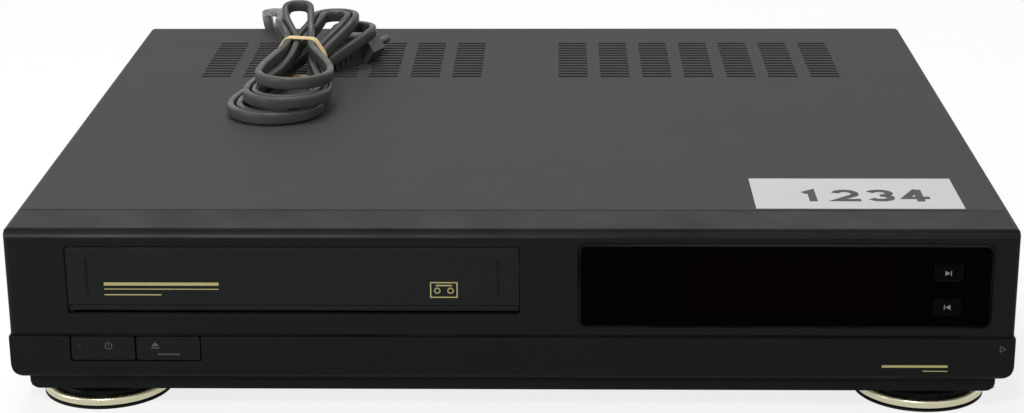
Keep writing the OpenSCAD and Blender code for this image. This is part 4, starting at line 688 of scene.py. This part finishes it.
CORD_W, CORD_T = 6.0, 3.6
SECTION_POWER = 0.5  # 1 is an ellipse, and less is nearer to a rectangle
BAND_T, SLIDE_GAP, BAND_YAW = 1, 0.3, math.radians(-14)
WAIST_X, WAIST_D, WAIST_R = -114.0, 250.0, 11.3
LOBE_X, LOBE_D, LOBE_R = (-120, -115, -111), (182, 182, 190), 23.4
FOLD_X, FOLD_D, FOLD_R = (-90, -99, -119), (280, 278, 272), (13.5, 12.2, 14.6)
START, LOOPS = 0.08, 4.7  # first and last turn of the hank that the cord runs through
CHANGE, CHANGE_TIME = 1.127, 0.13  # turn at which it steps down a row, and how long that takes
NEST_SHIFT, NEST_STEP = 0.873, 4.4  # start of the nesting of loops, and their pitch
ROW_STEP, LIFT, LIFT_RUN, FRONT_DROP = 7.2, 13.6, 30, 1
RUN, TURN = 0.28, 0.22  # shares of a loop: each straight run, and the turn at the front
HANK_Z = BODY_H + BAND_T + 2 * SLIDE_GAP + CORD_W / 2
PLUG_TURN = math.radians(24)
PLUG_WAY = Vector((math.sin(PLUG_TURN), math.cos(PLUG_TURN), 0))
TWIST_FROM = 7  # point of the lead where its flat side starts to turn
STEPS_A_STRETCH, HANK_STEPS = 6, 300
LEAD = [
    (-147, 380, 31.5), (-147, 388, 31.5), (-147, 397, 34), (-147, 404, 42), (-148, 406, 55),
    (-150, 402, 68), (-151, 394, 79), (-150, 382, 87), (-148, 370, 91), (-144, 356, 95),
    (-139, 341, 98), (-134, 325, 102), (-130, 310, 105), (-128.5, 296, 106.5),
    (-129.5, 283, 107.5), (-129.5, 272, 108.5),
]


def ease(t):
    """Smooth step from 0 to 1."""
    c = min(1.0, max(0.0, t))
    return c * c * (3 - 2 * c)


def by_row(values, row):
    """Value between those of the three rows."""
    return (values[0] + (values[1] - values[0]) * min(1.0, row)
            + (values[2] - values[1]) * max(0.0, row - 1))


def hank_point(t):
    """Middle of the cord after t loops of the hank, in millimetres, with its depth."""
    f = t - math.floor(t)
    row = (2 - ease((t - CHANGE) / CHANGE_TIME + 0.5)
           - ease((t - CHANGE - 2) / CHANGE_TIME + 0.5))
    u = t + NEST_SHIFT
    inset = NEST_STEP * (u if u < 2 else 4 - u if u < 4 else u - 4)
    front_d, rear_d = by_row(LOBE_D, row), by_row(FOLD_D, row)
    front_r, rear_r = LOBE_R - inset, by_row(FOLD_R, row) - inset
    back = RUN + TURN
    span = rear_d - front_d
    if f < RUN:
        d = rear_d - span * f / RUN
    elif f < back:
        angle = math.radians(180 + 180 * (f - RUN) / TURN)
        d = front_d + front_r * math.sin(angle)
    elif f < back + RUN:
        d = front_d + span * (f - back) / RUN
    else:
        angle = math.radians(180 * (f - back - RUN) / (1 - back - RUN))
        d = rear_d + rear_r * math.sin(angle)
    front_part = ease((WAIST_D - d) / (WAIST_D - front_d))
    rear_part = ease((d - WAIST_D) / (rear_d - WAIST_D))
    half = (WAIST_R + (LOBE_R - WAIST_R) * front_part
            + (by_row(FOLD_R, row) - WAIST_R) * rear_part)
    middle = (WAIST_X + (by_row(LOBE_X, row) - WAIST_X) * front_part
              + (by_row(FOLD_X, row) - WAIST_X) * rear_part)
    if f < RUN:
        side = inset - half
    elif f < back:
        side = front_r * math.cos(angle)
    elif f < back + RUN:
        side = half - inset
    else:
        side = rear_r * math.cos(angle)
    lift = LIFT * ease((d - WAIST_D) / LIFT_RUN)
    height = HANK_Z + ROW_STEP * row + lift - FRONT_DROP * front_part
    return Vector((middle + side, d, height))


def spline(points, i, t):
    """Point on the smooth curve through a list of points."""
    a, b = points[max(i - 1, 0)], points[i]
    c, e = points[i + 1], points[min(i + 2, len(points) - 1)]
    return 0.5 * (2 * b + (c - a) * t + (2 * a - 5 * b + 4 * c - e) * t * t
                  + (3 * b - a - 3 * c + e) * t * t * t)


def cord_route():
    """Middle line of the cord and the direction of its width, from the housing to the plug."""
    lead = [Vector(p) for p in LEAD] + [hank_point(START - g) for g in (0.05, 0.025, 0)]
    route = []
    last = len(lead) - 1
    for i in range(last):
        for k in range(STEPS_A_STRETCH):
            part = k / STEPS_A_STRETCH
            turn = math.radians(90 * ease((i + part - TWIST_FROM) / (last - TWIST_FROM - 1)))
            route.append((spline(lead, i, part), Vector((math.cos(turn), 0, math.sin(turn)))))
    on_edge = Vector((0, 0, 1))
    for i in range(HANK_STEPS + 1):
        route.append((hank_point(START + (LOOPS - START) * i / HANK_STEPS), on_edge))
    for past_end in (CORD_W / 2, CORD_W + 1):
        route.append((hank_point(LOOPS) + past_end * PLUG_WAY, on_edge))
    return route


def flat_section(sides, power, half_wide, half_thick):
    """Points round a flat section with rounded corners."""
    section = []
    for i in range(sides):
        a = 2 * math.pi * i / sides
        c, s = math.cos(a), math.sin(a)
        section.append((math.copysign(abs(c) ** power, c) * half_wide,
                        math.copysign(abs(s) ** power, s) * half_thick))
    return section


def flat_tube(name, route, material, sides=20):
    """Tube with a flat, round-edged section swept along a route, with a map along it."""
    section = flat_section(sides, SECTION_POWER, CORD_W / 2, CORD_T / 2)
    verts, travel = [], [0.0]
    for i, (p, wide) in enumerate(route):
        before, after = route[max(i - 1, 0)][0], route[min(i + 1, len(route) - 1)][0]
        t = (after - before).normalized()
        w = (wide - wide.dot(t) * t).normalized()
        n = t.cross(w)
        verts += [at(*(p + w * a + n * b)) for a, b in section]
        if i:
            travel.append(travel[-1] + (p - route[i - 1][0]).length)
    rings = len(route)
    faces = skin(rings, sides, closed=False)
    faces.append(tuple(range(sides))[::-1])
    faces.append(tuple((rings - 1) * sides + j for j in range(sides)))
    piece = new_piece(name, verts, faces, material, smooth=True)
    layer = piece.data.uv_layers.new(name="along")
    for face in piece.data.polygons:
        for loop, vert in zip(face.loop_indices, face.vertices):
            j = vert % sides
            if face.index % sides == sides - 1 and j == 0 and face.index < (rings - 1) * sides:
                j = sides
            layer.data[loop].uv = (j / sides, travel[vert // sides] * MM)
    return piece


def outer_ring(points):
    """Corners of the loop stretched round a set of flat points, in order."""
    def half(row):
        """One side of the loop, from sorted points."""
        kept = []
        for p in row:
            while len(kept) > 1 and (
                (kept[-1][0] - kept[-2][0]) * (p[1] - kept[-2][1])
                - (kept[-1][1] - kept[-2][1]) * (p[0] - kept[-2][0])
            ) <= 0:
                kept.pop()
            kept.append(p)
        return kept[:-1]

    row = sorted(set(points))
    return half(row) + half(row[::-1])


def even_ring(ring, step):
    """The same closed line with points at even steps."""
    sizes = [math.dist(p, q) for p, q in zip(ring, ring[1:] + ring[:1])]
    count = round(sum(sizes) / step)
    even, i, done = [], 0, 0.0
    for k in range(count):
        want = sum(sizes) * k / count
        while done + sizes[i] < want:
            done += sizes[i]
            i += 1
        s, p, q = (want - done) / sizes[i], ring[i], ring[(i + 1) % len(ring)]
        even.append((p[0] + (q[0] - p[0]) * s, p[1] + (q[1] - p[1]) * s))
    return even


def round_the_waist(centre, across, along):
    """Closed line that a tight band takes round the cords at the waist of the hank."""
    samples, near, band_half, corner = 2400, 2.2, 0.75, 1.1
    wrapped = []
    for i in range(samples):
        p = hank_point(START + (LOOPS - START) * i / samples) - centre
        if abs(p.dot(along)) < near:
            for cx, cz in ((-1, -1), (1, -1), (1, 1), (-1, 1)):
                wrapped += [(round(a, 2), round(b, 2)) for a, b in arc(
                    p.dot(across) + cx * (CORD_T / 2 - corner), p.z + cz * (CORD_W / 2 - 1.6),
                    corner + band_half, 45 * i, 45 * i + 360, 8)]
    ring = even_ring(outer_ring(wrapped), 1.0)
    for _ in range(3):
        ring = [((a[0] + 2 * b[0] + c[0]) / 4, (a[1] + 2 * b[1] + c[1]) / 4)
                for a, b, c in zip(ring[-1:] + ring[:-1], ring, ring[1:] + ring[:1])]
    return ring


def rubber_band(material):
    """Three strands of one rubber band, pulled tight round the waist of the hank."""
    across = Vector((math.cos(BAND_YAW), math.sin(BAND_YAW), 0))
    along = Vector((-math.sin(BAND_YAW), math.cos(BAND_YAW), 0))
    centre = Vector((WAIST_X, WAIST_D - 2, 0))
    ring = round_the_waist(centre, across, along)
    section = flat_section(10, 0.7, 0.78, 0.5)
    count, sides = len(ring), len(section)
    strand_pitch, wander = 1.5, 0.22
    verts, faces = [], []
    for strand in range(3):
        base = len(verts)
        for i, (x, z) in enumerate(ring):
            before, after = ring[i - 1], ring[(i + 1) % count]
            way = Vector((after[0] - before[0], after[1] - before[1])).normalized()
            out_way = across * way.y - Vector((0, 0, way.x))
            phase = 2 * math.pi * i / count
            shift = (strand - 1) * strand_pitch + wander * math.sin(phase * 2 + strand * 2.1)
            swell = 1 + 0.12 * math.sin(phase * 3 + strand)
            middle = centre + across * x + Vector((0, 0, z)) + along * shift
            for wide, thick in section:
                verts.append(at(*(middle + along * (wide * swell) + out_way * thick)))
        faces += skin(count, sides, base)
    piece = new_piece("rubber_band", verts, faces, material, smooth=True)
    point_outwards(piece)
    return piece


def point_outwards(piece):
    """Turns all faces of a closed piece outwards."""
    mesh = bmesh.new()
    mesh.from_mesh(piece.data)
    bmesh.ops.recalc_face_normals(mesh, faces=mesh.faces)
    mesh.to_mesh(piece.data)
    mesh.free()


def lay_cord():
    """Flat grey cord from the rear panel, over the back edge and into its hank."""
    vinyl = cord_vinyl("cord_vinyl", True)
    route = cord_route()
    cord = flat_tube("mains_cord", route, vinyl)
    point_outwards(cord)
    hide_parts("mains_lead", "mains_hank")
    band = rubber_band(natural_rubber())
    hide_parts("cord_band")


# Prints and screws

def cross_screws(name, spots, material):
    """Pan-head screws with a cross recess, set on points by one geometry tree."""
    bar_height = 2  # of the cutting bars, whose middle is at the top of the head
    tree = bpy.data.node_groups.new("screw_set", "GeometryNodeTree")
    face = tree.interface
    face.new_socket("Geometry", in_out="INPUT", socket_type="NodeSocketGeometry")
    sizes = {}
    for label, value in (("Head Radius", 3.4), ("Head Height", 2.1), ("Recess Width", 0.8),
                         ("Recess Reach", 3.6)):
        socket = face.new_socket(label, in_out="INPUT", socket_type="NodeSocketFloat")
        sizes[label] = (socket.identifier, value * MM)
    face.new_socket("Geometry", in_out="OUTPUT", socket_type="NodeSocketGeometry")
    nodes, link = tree.nodes, tree.links.new
    given = nodes.new("NodeGroupInput")
    result = nodes.new("NodeGroupOutput")

    def node(kind, **inputs):
        """First output of a new node, whose inputs are set by name."""
        made = nodes.new(kind)
        for key, value in inputs.items():
            feed(tree, made.inputs[key.replace("_", " ")], value)
        return made.outputs[0]

    radius, height = given.outputs["Head Radius"], given.outputs["Head Height"]
    width, reach = given.outputs["Recess Width"], given.outputs["Recess Reach"]
    ball = node("GeometryNodeMeshUVSphere", Segments=28, Rings=18, Radius=radius)
    ratio = nodes.new("ShaderNodeMath")
    ratio.operation = "DIVIDE"
    link(height, ratio.inputs[0])
    link(radius, ratio.inputs[1])
    squash = node("ShaderNodeCombineXYZ", X=1, Y=1, Z=ratio.outputs[0])
    flatter = node("GeometryNodeTransform", Geometry=ball, Scale=squash)
    slots = nodes.new("GeometryNodeJoinGeometry")
    for along_x, along_y in ((reach, width), (width, reach)):
        size = node("ShaderNodeCombineXYZ", X=along_x, Y=along_y, Z=bar_height * MM)
        cube = node("GeometryNodeMeshCube", Size=size)
        lift = node("ShaderNodeCombineXYZ", Z=height)
        link(node("GeometryNodeTransform", Geometry=cube, Translation=lift), slots.inputs[0])
    cut = nodes.new("GeometryNodeMeshBoolean")
    cut.operation = "DIFFERENCE"
    cut.solver = "MANIFOLD"
    link(flatter, cut.inputs["Mesh 1"])
    link(slots.outputs[0], cut.inputs["Mesh 2"])
    aim = nodes.new("GeometryNodeInputNamedAttribute")
    aim.data_type = "FLOAT_VECTOR"
    aim.inputs["Name"].default_value = "aim"
    turned = nodes.new("FunctionNodeAlignRotationToVector")
    turned.axis = "Z"
    link(aim.outputs[0], turned.inputs["Vector"])
    spread = node("GeometryNodeInstanceOnPoints", Points=given.outputs["Geometry"],
                  Instance=cut.outputs[0], Rotation=turned.outputs[0])
    real = node("GeometryNodeRealizeInstances", Geometry=spread)
    coat = node("GeometryNodeSetMaterial", Geometry=real, Material=material)
    link(coat, result.inputs[0])

    mesh = bpy.data.meshes.new(name)
    mesh.from_pydata([tuple(p) for p, _ in spots], [], [])
    aims = mesh.attributes.new("aim", "FLOAT_VECTOR", "POINT")
    for entry, (_, way) in zip(aims.data, spots):
        entry.vector = way
    holder = placed(name, mesh)
    modifier = holder.modifiers.new("screws", "NODES")
    modifier.node_group = tree
    for identifier, value in sizes.values():
        modifier[identifier] = value
    return made_plain(holder, name)


def made_plain(holder, name):
    """Plain mesh from an object with modifiers, which are removed."""
    bpy.context.view_layer.update()
    solid = bpy.data.meshes.new_from_object(
        holder.evaluated_get(bpy.context.evaluated_depsgraph_get())
    )
    solid.name = name
    holder.modifiers.clear()
    holder.data = solid
    return holder


def set_screws(material):
    """Screws in the sides of the cover, along its rear lip and along the rear panel."""
    lip_d, lip_z, side_z, low_z = 360, 77, 25.5, 17.5
    spots = []
    for s in (-1, 1):
        for d in (60, 300):
            spots.append((at(s * HALF_W, d, side_z), (s, 0, 0)))
    for x in (-185, 0, 185):
        spots.append((at(x, lip_d, lip_z), (0, 1, 0)))
    for x in (-195, 10, 195):
        spots.append((at(x, REAR_D, low_z), (0, 1, 0)))
    screws = cross_screws("housing_screws", spots, material)
    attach(screws, "root")
    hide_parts("cover_screws")


def turn_the_rings(material):
    """Lathe-turned rings with a rounded outer edge, one round each front foot."""
    profile = [(26.3, 1.1), (26.3, 5.0)] + arc(27.3, 3.8, 1.2, 90, 0, 8)
    profile += arc(27.75, 2.1, 0.75, 0, -90, 6)
    steps, verts, faces = 160, [], []
    for side in (-1, 1):
        faces += skin(steps, len(profile), len(verts))
        for i in range(steps):
            a = 2 * math.pi * i / steps
            verts += [at(side * FOOT_X + r * math.cos(a), FOOT_D + r * math.sin(a), z)
                      for r, z in profile]
    rings = new_piece("foot_trim", verts, faces, material, smooth=True)
    point_outwards(rings)
    rings.data.set_sharp_from_angle(angle=math.radians(50))
    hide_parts("foot_rings")


def print_the_front():
    """Plain gold and grey marks on the flap, the door and the keys."""
    gold = printed_ink("gold_print", (0.33, 0.30, 0.125), 0.4)
    grey = printed_ink("grey_print", (0.055, 0.057, 0.055))
    pale = printed_ink("pale_print", (0.17, 0.17, 0.165))
    flap_d, door_d, key_d, bar_d, search_d, lower_d = 0.36, -0.04, 0.26, 0.54, -1.24, 7.46
    first_x, pitch, mark_x, z = -100, 22, 9.5, 26.75
    cassette = pen(bar(-33.4, 54.6, -22.2, 61.2), 0.5, True)
    for x in (-30.6, -25.0):
        cassette += pen(arc(x, 57.6, 1.15, steps=16), 0.45, True)
    cassette += [bar(-31.2, 59.6, -24.4, 60.2)]
    printed(
        "flap_print",
        [bar(-172.2, 59.6, -123.4, 61.0), bar(-172.2, 57.8, -123.4, 58.2),
         bar(-172.2, 55.2, -148, 55.7)] + cassette,
        at(0, flap_d, 0), gold, "flap",
    )
    door = at(0, door_d, 0)
    printed("door_stripe", [bar(158.4, 23.2, 186.4, 24.3), bar(175.8, 21.4, 186.4, 21.8)],
            door, gold, "door")
    printed("door_pull_mark", pen(triangle(208.2, 31.7, 2.6), 0.35, True), door, grey, "door")
    power = pen(arc(-172, 32.1, 1.45, 120, 420, 26), 0.38)
    power += [bar(-172.19, 32.0, -171.81, 34.1)]
    printed("operate_symbol", power, at(0, key_d, 0), grey, "operate")
    eject = [[(-153.6, 32.0), (-150.2, 32.0), (-151.9, 34.0)], bar(-153.6, 30.9, -150.2, 31.4)]
    printed("eject_symbol", eject, at(0, key_d, 0), grey, "eject")
    printed("eject_bar", [bar(-151.1, 27.85, -141.3, 28.5)], at(0, bar_d, 0), grey, "eject")
    button = at(0, search_d, 0)
    printed("search_forward_symbol",
            [triangle(182.9, 66.4, 2.3), bar(185.2, 65.3, 185.6, 67.5)],
            button, pale, "search_forward")
    printed("search_back_symbol",
            [triangle(185.8, 51.2, 2.3, -1), bar(183.1, 50.1, 183.5, 52.3)],
            button, pale, "search_back")
    marks = {
        "rewind": [triangle(0, z, 3, -1), triangle(2.7, z, 3, -1)],
        "play": [triangle(-1.5, z, 3.4)],
        "fast_forward": [triangle(-2.7, z, 3), triangle(0, z, 3)],
        "stop": [bar(-1.4, z - 1.4, 1.4, z + 1.4)],
        "pause": [bar(-1.4, z - 1.5, -0.5, z + 1.5), bar(0.5, z - 1.5, 1.4, z + 1.5)],
        "record": [arc(0, z, 1.5, steps=24)],
    }
    red = printed_ink("red_print", (0.35, 0.02, 0.015))
    for i, (name, shapes) in enumerate(marks.items()):
        place = at(first_x + pitch * i + mark_x, lower_d, 0)
        printed(f"{name}_symbol", shapes, place, red if name == "record" else pale, name)


def print_the_rear():
    """Plain outlines round the groups of sockets, and a coloured ring for each socket."""
    pale = bpy.data.materials["pale_print"]
    face = at(0, REAR_D + 0.06, 0)
    lines = pen(bar(-94, 18.5, -38, 74.5), 0.5, True)
    lines += pen(bar(-181, 30, -127, 60), 0.5, True)
    lines += [bar(-54.5, 51, -77.5, 51.4)]
    printed("rear_outlines", lines, face, pale, facing=REAR)
    colours = (("yellow_ring", (0.55, 0.40, 0.02)), ("white_ring", (0.6, 0.6, 0.58)),
               ("red_ring", (0.4, 0.015, 0.012)))
    for (name, colour), x in zip(colours, (50, 66, 82)):
        ring = []
        for z in (28, 42):
            ring += pen(arc(-x, z, 6.6, steps=28), 0.9, True)
        printed(name, ring, face, printed_ink(name, colour), facing=REAR)


def print_the_label():
    """Plain bold digits on the stock label, in two layers so that strokes don't coincide."""
    thick, tall, wide = 3.5, 16.6, 12.2
    first_x, pitch, foot_y, label_t, layer_gap = 125.2, 15.2, 41.4, 0.2, 0.04
    top, low, mid = tall - thick / 2, thick / 2, tall / 2
    left, right = thick / 2, wide - thick / 2
    centre, bend = wide / 2, (right - left) / 2

    def bow(y, high, start, end):
        """Part of an oval round the middle of a digit, in degrees."""
        return arc(centre, y, bend, start, end, 14, high)

    upper, lower = (top - mid) / 2, (mid - low) / 2
    digits = (
        [[(left + 1.4, top - 3.2), (centre + 0.6, top - 0.4), (centre + 0.6, 0)]],
        [bow(top - 4.2, 4.2, 165, -35) + [(left + 0.2, low), (wide, low)]],
        [bow(mid + upper, upper, 160, -90), bow(low + lower, lower, 90, -160)],
        [[(wide, low + 3.3), (left, low + 3.3), (right - 2.6, top + thick / 2)],
         [(right - 2.6, tall), (right - 2.6, 0)]],
    )
    ink = printed_ink("label_ink", (0.045, 0.045, 0.048), 0.6)
    for layer, name in enumerate(("label_print", "label_print_over")):
        shapes = []
        for i, strokes in enumerate(digits):
            for stroke in strokes[layer:layer + 1]:
                shapes += pen([(x + first_x + i * pitch, y + foot_y) for x, y in stroke], thick)
        height = BODY_H + label_t + layer_gap * layer
        printed(name, shapes, at(0, 0, height), ink, facing=TOP)


def dress_everything():
    """The gold rings of the feet, and a finish for the CAD nodes."""
    ring_gold = turned_ring()
    turn_the_rings(ring_gold)
    no_top = 1e6  # far past the upright boards, so that they stay green all over
    for material, names in (
        (painted_steel("cover_paint", (0.047, 0.0475, 0.048)), "top_cover"),
        (painted_steel("rear_paint", (0.03, 0.03, 0.0315), 0.55, 0.08), "rear_panel"),
        (moulded("panel_plastic", (0.0080, 0.0092, 0.0086), edge_mm=0.7, lit_and_shaded_front=True),
         "front_panel"),
        (moulded("flap_plastic", (0.0112, 0.0126, 0.0118), edge_mm=0.5), "cassette_flap"),
        (moulded("door_plastic", (0.0076, 0.0086, 0.0078), edge_mm=0.6), "control_door"),
        (moulded("key_plastic", (0.009, 0.01, 0.0094), 0.36, edge_mm=0.5),
         "operate_button eject_button tracking_knob rewind_button play_button "
         "fast_forward_button stop_button pause_button record_button"),
        # Search keys: pale outlines, mostly a painted highlight on their bevels.
        (moulded("button_plastic", (0.0012, 0.0012, 0.0012), 0.3, 0.02, 0.35, wear_and_sheen=0.75,
                 edge_wear_and_sheen_tone=26), "search_forward_button search_back_button"),
        (moulded("reel_plastic", (0.03, 0.03, 0.031), 0.4, 0.3), "supply_reel takeup_reel"),
        (moulded("white_acetal", (0.62, 0.61, 0.56), 0.4, 0.4, 0.3, 0.5, 0.1),
         "loader_rack_left loader_rack_right loader_shaft"),
        (zinc_steel("zinc_sheet", (0.42, 0.42, 0.4)),
         "bottom_chassis loader_bracket_left loader_bracket_right loader_bridge "
         "cassette_carriage deck_plate"),
        (zinc_steel("tinned_sheet", (0.5, 0.5, 0.5), 0.3), "tuner_module"),
        (bright_metal("ground_steel", (0.6, 0.6, 0.59)),
         "capstan tape_guide_left tape_guide_right"),
        (bright_metal("turned_drum", (0.66, 0.66, 0.67), 0.16, 0.15, (60, 60, 1)), "head_drum"),
        (bright_metal("spring_wire", (0.5, 0.5, 0.49), 0.3, 0.3, (1, 6, 1)), "flap_spring"),
        (cast_metal("die_casting", (0.4, 0.4, 0.41)),
         "loading_motor drum_base pinch_arm fixed_heads"),
        (rubber("black_rubber", (0.018, 0.018, 0.018)), "rear_feet pinch_roller"),
        (cord_vinyl("plug_vinyl", False), "mains_plug cord_grommet"),
        (smoked_acrylic(), "display_window"),
        (lamp_pipe(), "power_lamp"),
        (foot_gloss(), "front_foot_left front_foot_right"),
        (ring_gold, "foot_rings"),
        (label_paper(), "stock_label"),
        (circuit_board("main_laminate", 2, 16.5), "main_board power_board"),
        (circuit_board("upright_laminate", 1, no_top), "control_board display_board socket_board"),
        (laminated_core(), "power_transformer"),
        (display_glass(), "display_tube"),
        (socket_plastic(), "av_sockets"),
    ):
        dress(material, names)


set_camera()
lay_cord()
light_the_studio()
lay_floor()
dress_everything()
set_screws(rubber("screw_black", (0.02, 0.02, 0.021), 0.35, 0.3))
print_the_front()
print_the_rear()
print_the_label()
